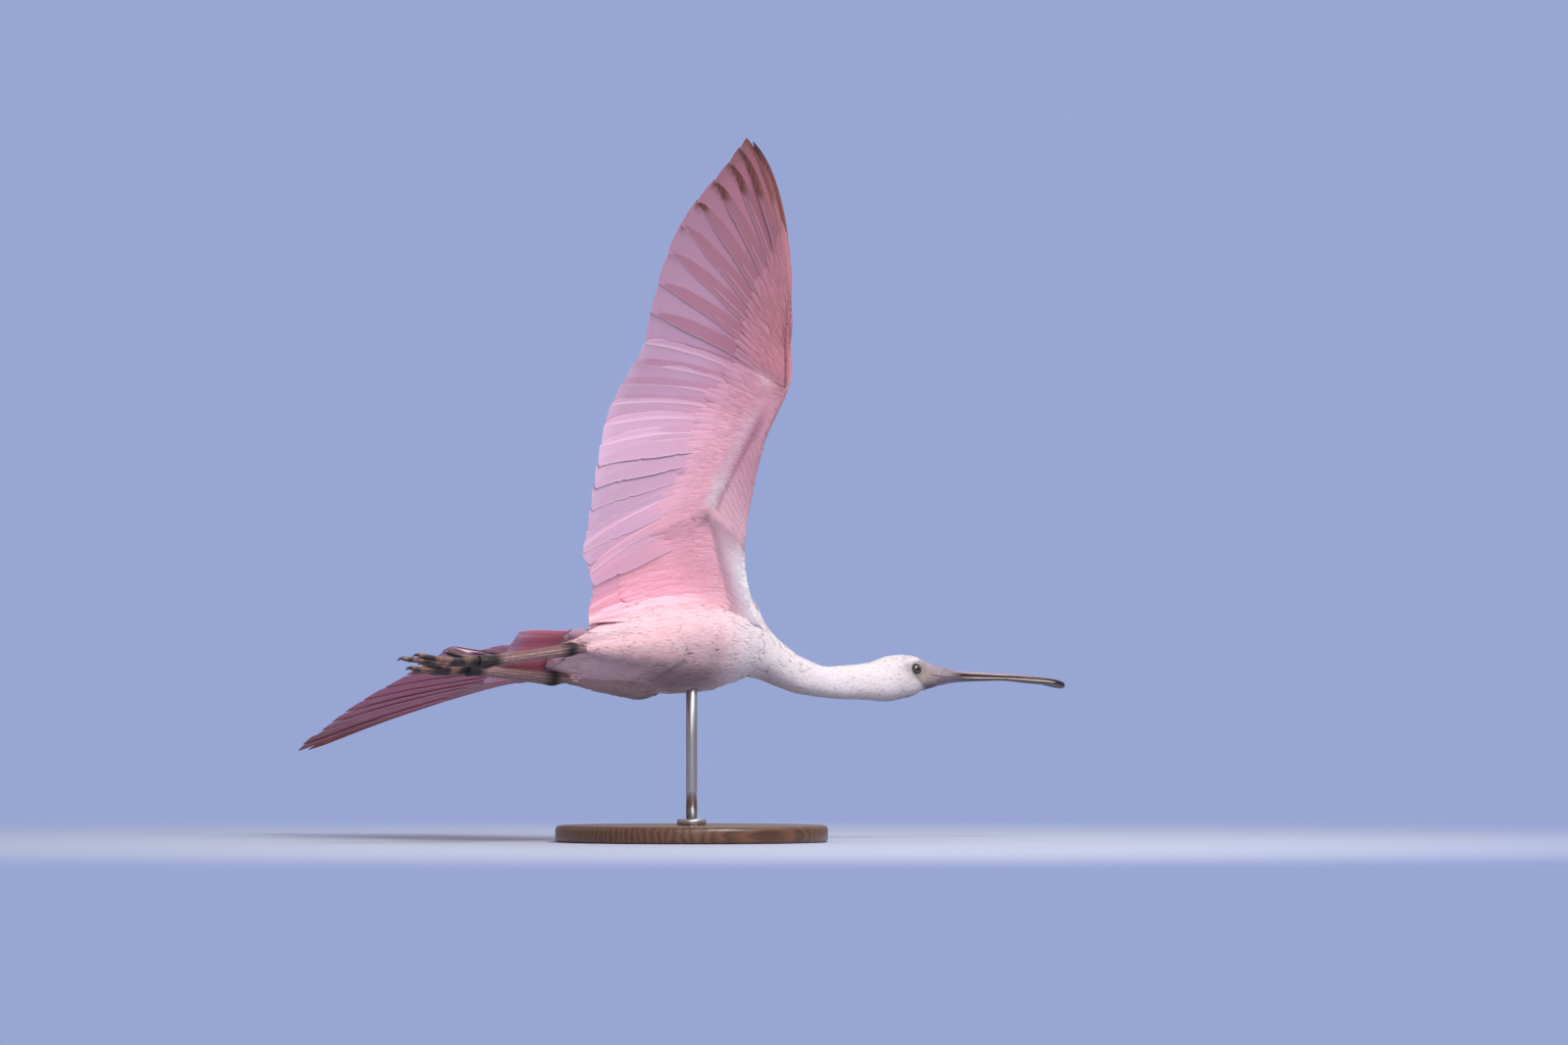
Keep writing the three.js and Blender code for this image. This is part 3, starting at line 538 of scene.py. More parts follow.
def wing_color(w, r, upper):
    w, r = np.broadcast_arrays(np.asarray(w, float), np.asarray(r, float))
    if upper:
        c = mix(lin(244, 214, 222), lin(238, 186, 202), smooth(0.3, 1.1, r))
        c = mix(c, lin(232, 176, 194), smooth(1.1, 1.5, r))
        c = mix(c, WHITE, smooth(3, -1, w) * 0.7)
        c = mix(c, lin(214, 150, 168), smooth(18, 24, w) * 0.7)
        c = mix(c, BROWN_LIGHT, smooth(24.5, 27, w) * 0.75)
        return c
    c = mix(lin(206, 156, 174), lin(210, 160, 180), smooth(1.1, 1.35, r))
    c = mix(c, lin(232, 168, 188), np.exp(-(((w - 8.5) / 3.6) ** 2)) * smooth(1.02, 1.16, r) * smooth(1.6, 1.3, r) * 0.55)
    c = mix(c, lin(250, 182, 200), smooth(5.2, 2.4, w) * smooth(0.9, 1.04, r))
    c = mix(c, lin(198, 142, 162), smooth(11, 16, w) * 0.8)
    # the patagium in front of the forearm, finely scalloped across
    lead = mix(lin(184, 136, 156), lin(216, 172, 188), smooth(11, 4, w))
    lead = lead * (1 + 0.07 * np.sin(w * 9.5 + 2.2 * np.sin(r * 5)) + 0.04 * np.sin(w * 23 + r * 9))[..., None]
    c = mix(c, lead, smooth(1.0, 0.93, r) * smooth(18.5, 16.5, w) * smooth(3.0, 5.2, w))
    # the pale stripe along the forearm, with a painted shadow line before it
    centre = keyed([[3, 0.97], [4.5, 0.98], [6, 1.02], [8, 1.055], [10, 1.075], [17.5, 1.10]], w)[..., 0]
    wide = keyed([[3, 0.05], [6, 0.05], [9, 0.04], [13, 0.028], [17.5, 0.02]], w)[..., 0]
    ragged = wide * (1 + 0.3 * np.sin(w * 31) + 0.2 * np.sin(w * 57 + 1))
    across = np.where(r > centre, np.abs(r - centre) / 1.5, np.abs(r - centre))
    stripe = smooth(3.9, 4.7, w) * smooth(18.0, 12.0, w) * smooth(ragged * 1.25, ragged * np.where(r > centre, 0.3, 0.8), across)
    c = mix(c, mix(lin(198, 184, 196), lin(192, 160, 177), smooth(6, 10.5, w)), stripe * 0.75)
    shade = smooth(4.2, 5.2, w) * smooth(16.5, 13, w) * np.exp(-(((r - centre + ragged + 0.035) / 0.028) ** 2))
    c = mix(c, lin(134, 90, 112), shade * 0.85)
    c = mix(c, mix(lin(252, 244, 249), lin(222, 208, 218), smooth(1.5, 4.0, w)), smooth(4.8, 1.6, w) * smooth(1.2, 0.15, r))
    elbow = np.exp(-(((w - 3.8) / 0.5) ** 2) - ((r - 1.02) / 0.06) ** 2)
    mottle = 0.7 + 0.3 * np.sin(w * 13 + r * 70)
    wrist = np.exp(-(((w - 17.3) / 1.1) ** 2) - ((r - 0.95) / 0.16) ** 2)
    c = mix(c, GREY_PATCH, np.clip(elbow * 0.95 * mottle, 0, 1))
    c = mix(c, lin(212, 142, 156), smooth(16.8, 19, w) * 0.95)
    c = mix(c, lin(176, 112, 128), smooth(19.5, 22, w) * smooth(1.5, 1.1, r) * 0.4)
    c = mix(c, lin(134, 90, 100), np.clip(wrist * 0.85 * mottle, 0, 1))
    c = mix(c, lin(218, 190, 202), np.exp(-(((w - 17.4) / 0.5) ** 2) - ((r - 1.13) / 0.06) ** 2) * 0.6)
    c = mix(c, EDGE_ORANGE, smooth(0.16, 0.03, r) * smooth(3, 5, w) * smooth(24, 20, w) * 0.95)
    c = mix(c, BROWN_LIGHT, smooth(23.5, 26.5, w) * smooth(0.7, 0.2, r) * 0.8)
    c = mix(c, lin(104, 54, 42), smooth(19, 22, w) * smooth(0.16, 0.06, r) * 0.75)
    c = mix(c, lin(246, 206, 218), smooth(0.8, -0.9, w) * smooth(0.5, 0.9, r) * 0.55)
    return c


# ------------------------------------------------------------------ classes of the coat
# each with its surface, its coordinates' range, its place on the unwrap and its lie
CLASSES = []


def add_class(name, fn, c1, c2, n1, n2, rect, lie):
    a = np.linspace(c1[0], c1[1], n1)
    b = np.linspace(c2[0], c2[1], n2)
    A, B = np.meshgrid(a, b, indexing="ij")
    e1, e2 = (c1[1] - c1[0]) / 400, (c2[1] - c2[0]) / 400
    P = fn(A, B)
    T1 = (fn(np.minimum(A + e1, c1[1]), B) - fn(np.maximum(A - e1, c1[0]), B)) / (
        np.minimum(A + e1, c1[1]) - np.maximum(A - e1, c1[0])
    )[..., None]
    T2 = (fn(A, np.minimum(B + e2, c2[1])) - fn(A, np.maximum(B - e2, c2[0]))) / (
        np.minimum(B + e2, c2[1]) - np.maximum(B - e2, c2[0])
    )[..., None]
    D = lie(A, B, T1, T2)
    CLASSES.append(
        dict(
            name=name,
            P=P.reshape(-1, 3),
            A=A.ravel(),
            B=B.ravel(),
            T1=T1.reshape(-1, 3),
            T2=T2.reshape(-1, 3),
            D=unit(D).reshape(-1, 3),
            c1=c1,
            c2=c2,
            rect=rect,
        )
    )


add_class("trunk", lambda a, b: trunk_surface(a, b, 4.0), (-231, 34), (-math.pi, math.pi), 110, 110,
          (0.01, 0.01, 0.49, 0.39), lambda A, B, T1, T2: -T1 - 0.0035 * np.sign(np.cos(B))[..., None] * T2 * 0.6)
add_class("neck", lambda a, b: neck_surface(a, b, 2.5), (38, 277), (-math.pi, math.pi), 130, 70,
          (0.51, 0.01, 0.99, 0.39), lambda A, B, T1, T2: -T1)
for _n, _side in enumerate(("right", "left")):
    add_class("thigh_" + _side, lambda a, b, s=_side: thigh_surface(s, a, b, 2.5), (0.02, 1), (-math.pi, math.pi), 46, 44,
              (0.01 + 0.2 * _n, 0.41, 0.19 + 0.2 * _n, 0.49), lambda A, B, T1, T2: T1)
    for _k, _up in enumerate((False, True)):
        add_class(
            "wing_" + _side + ("_upper" if _up else "_under"),
            lambda a, b, s=_side, u=_up: wing_skin(s, a, b, u, 1.6), (-1, 27), (0, 1.13), 120, 34,
            (0.01 + 0.5 * _k, 0.51 + 0.24 * _n, 0.49 + 0.5 * _k, 0.73 + 0.24 * _n),
            lambda A, B, T1, T2: unit(T2) + 0.35 * unit(T1),
        )
cloud = {k: np.concatenate([c[k] for c in CLASSES]) for k in ("P", "A", "B", "T1", "T2", "D")}
cloud["cls"] = np.concatenate([np.full(len(c["P"]), i) for i, c in enumerate(CLASSES)])
cloud_tree = KDTree(len(cloud["P"]))
for _i, _p in enumerate(cloud["P"]):
    cloud_tree.insert(_p, _i)
cloud_tree.balance()
RECT = np.array([c["rect"] for c in CLASSES])
C1 = np.array([c["c1"] for c in CLASSES], float)
C2 = np.array([c["c2"] for c in CLASSES], float)
NAMES = [c["name"] for c in CLASSES]


def nearest(tree, pts):
    return np.fromiter((tree.find(p)[1] for p in pts), int, len(pts))


def locate(pts):
    """Class and coordinates on the coat's surfaces of level-frame points."""
    k = nearest(cloud_tree, pts)
    d = pts - cloud["P"][k]
    t1, t2 = cloud["T1"][k], cloud["T2"][k]
    a = cloud["A"][k] + np.einsum("ij,ij->i", d, t1) / np.maximum(np.einsum("ij,ij->i", t1, t1), 1e-9)
    b = cloud["B"][k] + np.einsum("ij,ij->i", d, t2) / np.maximum(np.einsum("ij,ij->i", t2, t2), 1e-9)
    return cloud["cls"][k], a, b, k


def atlas(cls, a, b):
    u = (a - C1[cls, 0]) / (C1[cls, 1] - C1[cls, 0])
    v = (b - C2[cls, 0]) / (C2[cls, 1] - C2[cls, 0])
    r = RECT[cls]
    uv = np.stack([r[:, 0] + u * (r[:, 2] - r[:, 0]), r[:, 1] + v * (r[:, 3] - r[:, 1])], -1)
    return np.clip(uv, 0.002, 0.998)


def coat_color(pts, cls, a, b):
    c = np.zeros((len(pts), 3))
    body = to_body(pts)
    for i, name in enumerate(NAMES):
        m = cls == i
        if not m.any():
            continue
        if name == "trunk":
            c[m] = trunk_color(body[m])
        elif name == "neck":
            c[m] = neck_color(pts[m])
        elif name.startswith("thigh"):
            t = a[m]
            q = mix(BELLY, lin(226, 186, 194), smooth(0.2, 0.9, t))
            # each thigh is painted darker on its lower side, the far left one much more: painted shade
            low, top_, share = ((-0.1, 0.95, 0.3) if name.endswith("right") else (0.1, 0.9, 0.7))
            q = mix(q, lin(98, 80, 86), smooth(low, top_, np.sin(b[m])) * share)
            streak = ripple(pts[m] * np.array([0.25, 1, 1]), 5, 16)
            c[m] = q * (1 + 0.05 * ripple(pts[m], 14, 8) + 0.09 * streak)[:, None]
        else:
            q = wing_color(a[m], b[m], name.endswith("upper"))
            c[m] = q * (1 + 0.03 * ripple(pts[m], 12, 9))[:, None]
    # the neck's white runs softly into the breast and shoulders
    x = body[:, 0]
    soft = smooth(2, 36, x) * smooth(60, 30, pts[:, 0])
    c = mix(c, WHITE * 0.97, soft * 0.6)
    return c


# ------------------------------------------------------------------ bare face: its edge and its relief
def bare(x, z, sgn=1):
    """1 on the naked skin of the face, 0 under feathers."""
    k = keyed(NECK, x)
    cz, h = (k[..., 1] + k[..., 2]) / 2, (k[..., 1] - k[..., 2]) / 2
    up = (z - cz) / np.maximum(h, 1)
    edge = keyed(
        [[-1.1, 262], [-0.85, 259.5], [-0.6, 254.5], [-0.35, 249.5], [-0.12, 244], [0.1, 238], [0.25, 236.4], [0.48, 236.4], [0.63, 240], [0.74, 248], [0.86, 256], [1.1, 259.5]],
        up,
    )[..., 0]
    return smooth(-1.1, 1.1, x - edge)


def head_relief(x, th, p):
    """Outward millimetres added to the head's smooth shape."""
    d = np.zeros_like(x)
    out = np.zeros_like(x)
    for s in (1, -1):
        e = head_at(EYE_X, s * EYE_OUT, EYE_Z)
        axis = unit(head_at(EYE_X, s * 20.0, EYE_Z) - head_at(EYE_X, 0.0, EYE_Z))
        v = p - e
        along = v @ axis
        flat = v - along[..., None] * axis
        q = np.sqrt((flat[..., 0] / 1.04) ** 2 + (flat[..., 1]) ** 2 + (flat[..., 2] / 0.93) ** 2)
        near = along > -2
        rim = np.exp(-(((q - 6.3) / 0.75) ** 2)) * 0.85
        sink = smooth(6.0, 4.6, q) * 5.0
        fold = np.exp(-(((q - 8.3) / 0.5) ** 2)) * 0.28 + np.exp(-(((q - 10.0) / 0.6) ** 2)) * 0.16
        wr = 0.1 * np.sin(q * 5.2 + 2 * np.sin(np.arctan2(flat[..., 2], flat[..., 0]) * 5)) * smooth(11, 8, q) * smooth(6.6, 7.4, q)
        raise_ = 1.15 * np.exp(-((q / 7.6) ** 4))
        out = out + np.where(near, raise_ + rim - sink + fold + wr, 0)
    k = keyed(NECK, x)
    cz, h = (k[..., 1] + k[..., 2]) / 2, (k[..., 1] - k[..., 2]) / 2
    z = cz + h * np.sin(th)
    b = bare(x, z)
    # the gape runs back from the bill, the lore is hollow, and the skin is finely pitted
    gape = np.exp(-(((z + 51.8 - 0.10 * (277 - x)) / 0.55) ** 2)) * smooth(259, 266, x)
    out = out - 0.75 * gape * (np.abs(np.cos(th)) > 0.3)
    out = out + 0.35 * np.exp(-(((z + 53.4 - 0.10 * (277 - x)) / 0.8) ** 2)) * smooth(259, 266, x) * (np.abs(np.cos(th)) > 0.3)
    lore = np.exp(-(((x - 261) / 6.5) ** 2) - ((z + 45.5) / 5.5) ** 2)
    out = out - 0.8 * lore
    pit = ripple(p, 2.3, 11) * 0.09 + ripple(p, 1.2, 12) * 0.05
    chin = 0.14 * np.sin(x * 2.2 + 3 * np.sin(th * 3)) * smooth(-0.55, -0.85, np.sin(th)) * smooth(256, 262, x)
    return out + b * (pit + chin)


def face_color(p):
    x, z = p[..., 0], p[..., 2]
    k = keyed(NECK, x)
    cz, h = (k[..., 1] + k[..., 2]) / 2, (k[..., 1] - k[..., 2]) / 2
    up = (z - cz) / np.maximum(h, 1)
    c = mix(FACE, lin(166, 152, 160), smooth(0.2, 0.9, up))
    c = mix(c, lin(176, 162, 140), np.exp(-(((x - 253) / 6) ** 2) - ((z + 52) / 6) ** 2) * 0.6)
    # darker at the back of the bare face behind the eye and much darker on its underside: painted shade
    c = mix(c, lin(112, 98, 106), smooth(243, 237, x) * 0.6)
    c = mix(c, lin(82, 72, 82), smooth(-0.2, -0.8, up) * 0.85)
    c = mix(c, lin(136, 122, 130), smooth(266, 277, x) * 0.5)
    gape = np.exp(-(((z + 51.8 - 0.10 * (277 - x)) / 0.5) ** 2)) * smooth(259, 266, x)
    c = mix(c, lin(92, 66, 66), gape * 0.8)
    n = ripple(p, 5, 13) * 0.07 + ripple(p, 1.8, 14) * 0.06
    c = c * (1 + n[..., None])
    for s in (1, -1):
        e = head_at(EYE_X, s * EYE_OUT, EYE_Z)
        axis = unit(head_at(EYE_X, s * 20.0, EYE_Z) - head_at(EYE_X, 0.0, EYE_Z))
        v = p - e
        along = v @ axis
        flat = v - along[..., None] * axis
        q = np.sqrt((flat[..., 0] / 1.04) ** 2 + (flat[..., 1]) ** 2 + (flat[..., 2] / 0.93) ** 2)
        on = (along > -2).astype(float)
        c = mix(c, lin(46, 36, 38), smooth(6.5, 5.6, q) * on)
        c = mix(c, lin(178, 168, 172), np.exp(-(((q - 7.6) / 0.8) ** 2)) * on * 0.4)
        c = mix(c, lin(104, 94, 102), np.exp(-(((q - 9.0) / 0.6) ** 2)) * on * 0.4)
    return c


# ------------------------------------------------------------------ skin
def build_skin():
    parts = []
    xs = np.linspace(-229, 33, 70)
    th = np.linspace(-math.pi, math.pi, 96, endpoint=False)
    A, B = np.meshgrid(xs, th, indexing="ij")
    inset = 2.0 * smooth(-232, -215, A) + 0.3
    parts.append(closed_loft(trunk_surface(A, B, inset)))
    xs = np.concatenate([[6, 16, 26, 34], np.linspace(42, 240, 90)])
    A, B = np.meshgrid(xs, th, indexing="ij")
    rings = neck_surface(np.maximum(A, 42), B, 1.9 - 0.8 * smooth(150, 230, A))
    rings[..., 0] += np.minimum(A - 42, 0)
    shrink = np.interp(xs, [6, 42], [0.72, 1.0])[:, None, None]
    mid = rings.mean(1, keepdims=True)
    rings = mid + (rings - mid) * shrink
    parts.append(closed_loft(rings))
    th2 = np.linspace(-math.pi, math.pi, 40, endpoint=False)
    for side in ("right", "left"):
        A, B = np.meshgrid(np.linspace(0, 1, 40), th2, indexing="ij")
        parts.append(closed_loft(thigh_surface(side, A, B, 3.0 if side == "right" else 4.4)))
        # the wing's arm and hand, as a flattened tube of upper and lower skin
        ws = np.linspace(-1, 27, 150)
        rs = np.concatenate([np.linspace(0.06, 0.3, 7), np.linspace(0.36, 1.16, 15)])
        A, B = np.meshgrid(ws, rs, indexing="ij")
        up, down = wing_thick(A, B)
        n, _, _ = wing_normal(side, A, B)
        p = wing_point(side, A, B)
        ins = 1.7
        hi = wing_level(side, p + n * np.maximum(up - ins, 0.9)[..., None])
        lo = wing_level(side, p - n * np.maximum(down - ins, 0.9)[..., None])
        parts.append(closed_loft(np.concatenate([hi, lo[:, ::-1]], 1)))
    co, quads, tris, k = [], [], [], 0
    for c, q, t in parts:
        co.append(c)
        quads.append(q + k)
        tris.append(t + k)
        k += len(c)
    raw = add_mesh("skin_raw", np.concatenate(co), np.concatenate(quads), np.concatenate(tris))
    m = raw.modifiers.new("union", "REMESH")
    m.mode = "VOXEL"
    m.voxel_size = 0.0017
    m.adaptivity = 0.0
    s = raw.modifiers.new("soft", "SMOOTH")
    s.factor = 0.5
    s.iterations = 5
    dg = bpy.context.evaluated_depsgraph_get()
    dg.update()
    ev = raw.evaluated_get(dg)
    me = bpy.data.meshes.new_from_object(ev)
    n = len(me.vertices)
    v = np.empty(n * 3, np.float32)
    me.vertices.foreach_get("co", v)
    v = v.reshape(-1, 3).astype(float) / MM - SHOULDER
    nf = len(me.polygons)
    tot = np.empty(nf, np.int32)
    me.polygons.foreach_get("loop_total", tot)
    loops = np.empty(len(me.loops), np.int32)
    me.loops.foreach_get("vertex_index", loops)
    q = loops.reshape(-1, 4) if (tot == 4).all() else None
    if q is None:
        raise RuntimeError("the skin's remesh has faces that aren't quads")
    bpy.data.objects.remove(raw)
    del PIECES["skin_raw"]
    return v, q


skin_v, skin_q = build_skin()


def vertex_normals(v, q):
    n = np.cross(v[q[:, 2]] - v[q[:, 0]], v[q[:, 3]] - v[q[:, 1]])
    out = np.zeros_like(v)
    for k in range(4):
        np.add.at(out, q[:, k], n)
    return unit(out)


skin_n = vertex_normals(skin_v, skin_q)

# the head's own fine mesh, closed inside the neck
HX = np.concatenate([np.linspace(214, 234, 22), np.linspace(234.6, 277.3, 84)])
HT = np.linspace(-math.pi, math.pi, 176, endpoint=False)
HA, HB = np.meshgrid(HX, HT, indexing="ij")
_inset = 0.9 * (1 - bare(HA, (neck_surface(HA, HB)[..., 2])))
_base = neck_surface(HA, HB, 0.0)
_n = unit(neck_surface(HA, HB, -1.0) - _base)
head_p = _base + _n * (head_relief(HA, HB, _base) - _inset)[..., None]
hc, hq, ht = closed_loft(head_p)
head_cls = np.full(len(hc), 1)
_hb = bare(hc[:, 0], hc[:, 2])
head_uv_x = np.concatenate([HA.ravel(), [214, 277.3]])
head_uv_t = np.concatenate([HB.ravel(), [0, 0]])
head_uv = atlas(head_cls, head_uv_x, head_uv_t)
head_col = mix(neck_color(hc) * 0.96, face_color(hc), _hb)

cls, ca, cbb, kk = locate(skin_v)
skin_col = coat_color(skin_v, cls, ca, cbb) * 0.93
# loop uv of the voxel skin, each face from its own place
centre = skin_v[skin_q].mean(1)
fc, fa, fb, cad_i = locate(centre)
corner = skin_v[skin_q] - cloud["P"][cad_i][:, None]
t1, t2 = cloud["T1"][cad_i][:, None], cloud["T2"][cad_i][:, None]
la = cloud["A"][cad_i][:, None] + (corner * t1).sum(-1) / np.maximum((t1 * t1).sum(-1), 1e-9)
lb = cloud["B"][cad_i][:, None] + (corner * t2).sum(-1) / np.maximum((t2 * t2).sum(-1), 1e-9)
skin_uv = atlas(np.repeat(fc, 4), la.ravel(), lb.ravel())
off = len(skin_v)
hq_uv = head_uv[hq].copy()
# faces that cross the seam of the angle
wrapv = hq_uv[..., 1].max(1) - hq_uv[..., 1].min(1) > 0.2
fix = hq_uv[wrapv]
fix[..., 1] = np.where(fix[..., 1] < 0.2, fix[..., 1] + 0.38, fix[..., 1])
hq_uv[wrapv] = np.clip(fix, 0, 0.395)
skin = add_mesh(
    "skin",
    np.concatenate([skin_v, hc]),
    np.concatenate([skin_q, hq + off]),
    ht + off,
    color=np.concatenate([skin_col, head_col]),
    loop_uv=np.concatenate([skin_uv, hq_uv.reshape(-1, 2), head_uv[ht].reshape(-1, 2)]),
)

# one tree of everything that feathers lie on: the union's skin and the head's
use = bare(HA, head_p[..., 2]) < 0.9
surf_v = np.concatenate([skin_v, head_p.reshape(-1, 3)])
hn = np.cross(
    np.roll(head_p, -1, 1) - np.roll(head_p, 1, 1), np.gradient(head_p, axis=0)
)
hn = unit(hn)
hn = np.where(((hn * _n).sum(-1) < 0)[..., None], -hn, hn)
surf_n = np.concatenate([skin_n, hn.reshape(-1, 3)])
surf_tree = KDTree(len(surf_v))
for _i, _p in enumerate(surf_v):
    surf_tree.insert(_p, _i)
surf_tree.balance()


def lay(P, h):
    """Moves points to height h over the skin, and gives the skin's normal there."""
    shape = P.shape
    P = P.reshape(-1, 3)
    k = nearest(surf_tree, P)
    n = surf_n[k]
    offs = np.einsum("ij,ij->i", P - surf_v[k], n)
    Q = P - n * (offs - np.broadcast_to(h, shape[:-1]).reshape(-1))[:, None]
    return Q.reshape(shape), n.reshape(shape)


# ------------------------------------------------------------------ tufts and vanes
def lens(P, N, width, thick, color, uv, sides=4, patch=0.003, round_=0.3, sag=0.0):
    """Closed slim leaf-shaped bodies. P and N (n, k, 3) are centre points and normals from root to
    tip, width and thick (n, k) half sizes at the inner stations; colour (n, 3) or (n, k, 3)."""
    if color.ndim == 2:
        color = np.repeat(color[:, None], P.shape[1], 1)
    # leave out bodies that would fold over themselves
    step = unit(np.diff(P, axis=1))
    even = ((step[:, 1:] * step[:, :-1]).sum(-1) > 0.7).all(1)
    even &= ((N[:, 1:] * N[:, :-1]).sum(-1) > 0.72).all(1) & (np.abs((step * N[:, 1:]).sum(-1)) < 0.6).all(1)
    P, N, width, thick, color, uv = (x[even] for x in (P, N, width, thick, color, uv))
    n, k, _ = P.shape
    T = unit(np.gradient(P, axis=1))
    S = unit(np.cross(T, N))
    U = unit(np.cross(S, T))
    W = width[..., None] * S[:, 1:-1]
    H = thick[..., None] * U[:, 1:-1]
    C = P[:, 1:-1]
    G = (sag * width * width)[..., None] * U[:, 1:-1]  # the borders curve down to the body
    if sides == 4:
        ring = np.stack([C - W - G, C + H, C + W - G, C - H * 0.5], 2)
    else:
        ring = np.stack([C - W - G, C + H, C + W - G], 2)
    # the shading follows the body's surface, a little rounded across each vane
    Ui, Si = U[:, 1:-1], S[:, 1:-1]
    sides_n = [unit(Ui - round_ * Si), Ui, unit(Ui + round_ * Si)] + ([Ui] if sides == 4 else [])
    m, c = k - 2, ring.shape[2]
    nrm = np.concatenate([U[:, :1], np.stack(sides_n, 2).reshape(n, m * c, 3), U[:, -1:]], 1).reshape(-1, 3)
    per = m * c + 2
    co = np.concatenate([P[:, :1], ring.reshape(n, m * c, 3), P[:, -1:]], 1).reshape(-1, 3)
    base = (np.arange(n) * per)[:, None, None]
    j = np.arange(c)
    j2 = (j + 1) % c
    quads = []
    for i in range(m - 1):
        a = 1 + i * c
        face = np.stack([a + j, a + c + j, a + c + j2, a + j2], -1)
        if c == 4:  # both sides of a vane are split along the same line, so that a twist can't cross them
            face[2:] = np.roll(face[2:], -1, axis=1)
        quads.append(face)
    quads = np.stack(quads).reshape(1, -1, 4) + base if m > 1 else np.zeros((0, 4), int)
    tris = np.concatenate(
        [
            np.stack([np.zeros(c, int), 1 + j, 1 + j2], -1),
            np.stack([1 + (m - 1) * c + j, np.full(c, per - 1), 1 + (m - 1) * c + j2], -1),
        ]
    )[None] + base
    # outward faces, from each body's signed volume
    body = co.reshape(n, per, 3)
    body = body - body.mean(1, keepdims=True)
    vol = np.zeros(n)
    for f in (quads, tris):
        if f.size:
            v = body[np.arange(n)[:, None, None], f - base]
            for q in range(1, f.shape[-1] - 1):
                vol += np.einsum("ijk,ijk->i", v[:, :, 0], np.cross(v[:, :, q], v[:, :, q + 1]))
    quads = np.where((vol < 0)[:, None, None], quads[..., ::-1], quads)
    tris = np.where((vol < 0)[:, None, None], tris[..., ::-1], tris)
    # each corner's normal: the body's surface on top, the reverse of it below
    low_q = np.tile(j >= 2, max(m - 1, 0))[None, :, None]
    low_t = np.tile(j >= 2, 2)[None, :, None]
    nq = nrm[quads] * np.where(low_q, -1.0, 1.0)[..., None]
    nt_ = nrm[tris] * np.where(low_t, -1.0, 1.0)[..., None]
    t = np.concatenate([[0.0], np.repeat(np.arange(1, m + 1) / (m + 1), c), [1.0]])
    col = np.concatenate(
        [color[:, :1], np.repeat(color[:, 1:-1], c, 1), color[:, -1:]], 1
    ).reshape(-1, 3)
    lr = {4: [-1, 0, 1, 0], 3: [-1, 0, 1]}[c]
    x = np.concatenate([[0.0], np.tile(lr, m), [0.0]]) * 0.5
    loc = np.stack([x, t - 0.5], -1) * patch
    uvs = (uv[:, None] + loc[None]).reshape(-1, 2)
    L = np.linalg.norm(np.diff(P, axis=1), axis=-1).sum(1)
    vane = np.stack(
        [
            (t[None] * L[:, None] * 0.1) + rng.uniform(0, 50, n)[:, None],
            x[None] * 2 * width.max(1)[:, None] * 0.1,
        ],
        -1,
    ).reshape(-1, 2)
    return dict(co=co, quads=quads.reshape(-1, 4), tris=tris.reshape(-1, 3), col=col, uv=uvs, vane=vane,
                nq=nq.reshape(-1, 3), nt=nt_.reshape(-1, 3))


def merge(batches):
    keys = ["co", "col", "uv", "vane"] + (["nq", "nt"] if all("nq" in b for b in batches) else [])
    out = {key: [] for key in keys + ["quads", "tris"]}
    k = 0
    for b in batches:
        for key in keys:
            out[key].append(b[key])
        out["quads"].append(b["quads"] + k)
        out["tris"].append(b["tris"] + k)
        k += len(b["co"])
    return {key: np.concatenate(v) for key, v in out.items()}


def coat(name, batches, material):
    b = merge(batches)
    nrm = np.concatenate([b["nq"], b["nt"]]) if "nq" in b else None
    ob = add_mesh(name, b["co"], b["quads"], b["tris"], b["col"], b["uv"], vane=b["vane"], normals=nrm)
    ob.data.materials.append(material)
    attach(ob, "root")
    return ob


def scatter(v, q, spacing, keep):
    """Roots spread over the skin's faces, about spacing apart where keep(face) is true.
    spacing is one number for each face."""
    f = np.flatnonzero(keep)
    a, b, c, d = (v[q[f, i]] for i in range(4))
    area = 0.5 * np.linalg.norm(np.cross(c - a, d - b), axis=1)
    want = area / (spacing[f] ** 2) * 1.0
    n = rng.poisson(want)
    idx = np.repeat(np.arange(len(f)), n)
    u, w = rng.uniform(size=len(idx)), rng.uniform(size=len(idx))
    p = (
        a[idx] * ((1 - u) * (1 - w))[:, None]
        + b[idx] * (u * (1 - w))[:, None]
        + c[idx] * (u * w)[:, None]
        + d[idx] * ((1 - u) * w)[:, None]
    )
    # drop one of each pair that is too close
    s = spacing[f][idx]
    cell = np.floor(p / (s * 0.62)[:, None]).astype(np.int64)
    key = cell[:, 0] * 73856093 ^ cell[:, 1] * 19349663 ^ cell[:, 2] * 83492791
    _, first = np.unique(key, return_index=True)
    first.sort()
    return p[first], f[idx[first]]


# ------------------------------------------------------------------ materials
def new_material(name):
    m = bpy.data.materials.new(name)
    m.use_nodes = True
    nt = m.node_tree
    nt.nodes.clear()
    out = nt.nodes.new("ShaderNodeOutputMaterial")
    bsdf = nt.nodes.new("ShaderNodeBsdfPrincipled")
    nt.links.new(bsdf.outputs["BSDF"], out.inputs["Surface"])
    return m, nt, bsdf


def N(nt, kind, **kw):
    node = nt.nodes.new(kind)
    for k, val in kw.items():
        if k in node.inputs:
            node.inputs[k].default_value = val
        else:
            setattr(node, k, val)
    return node


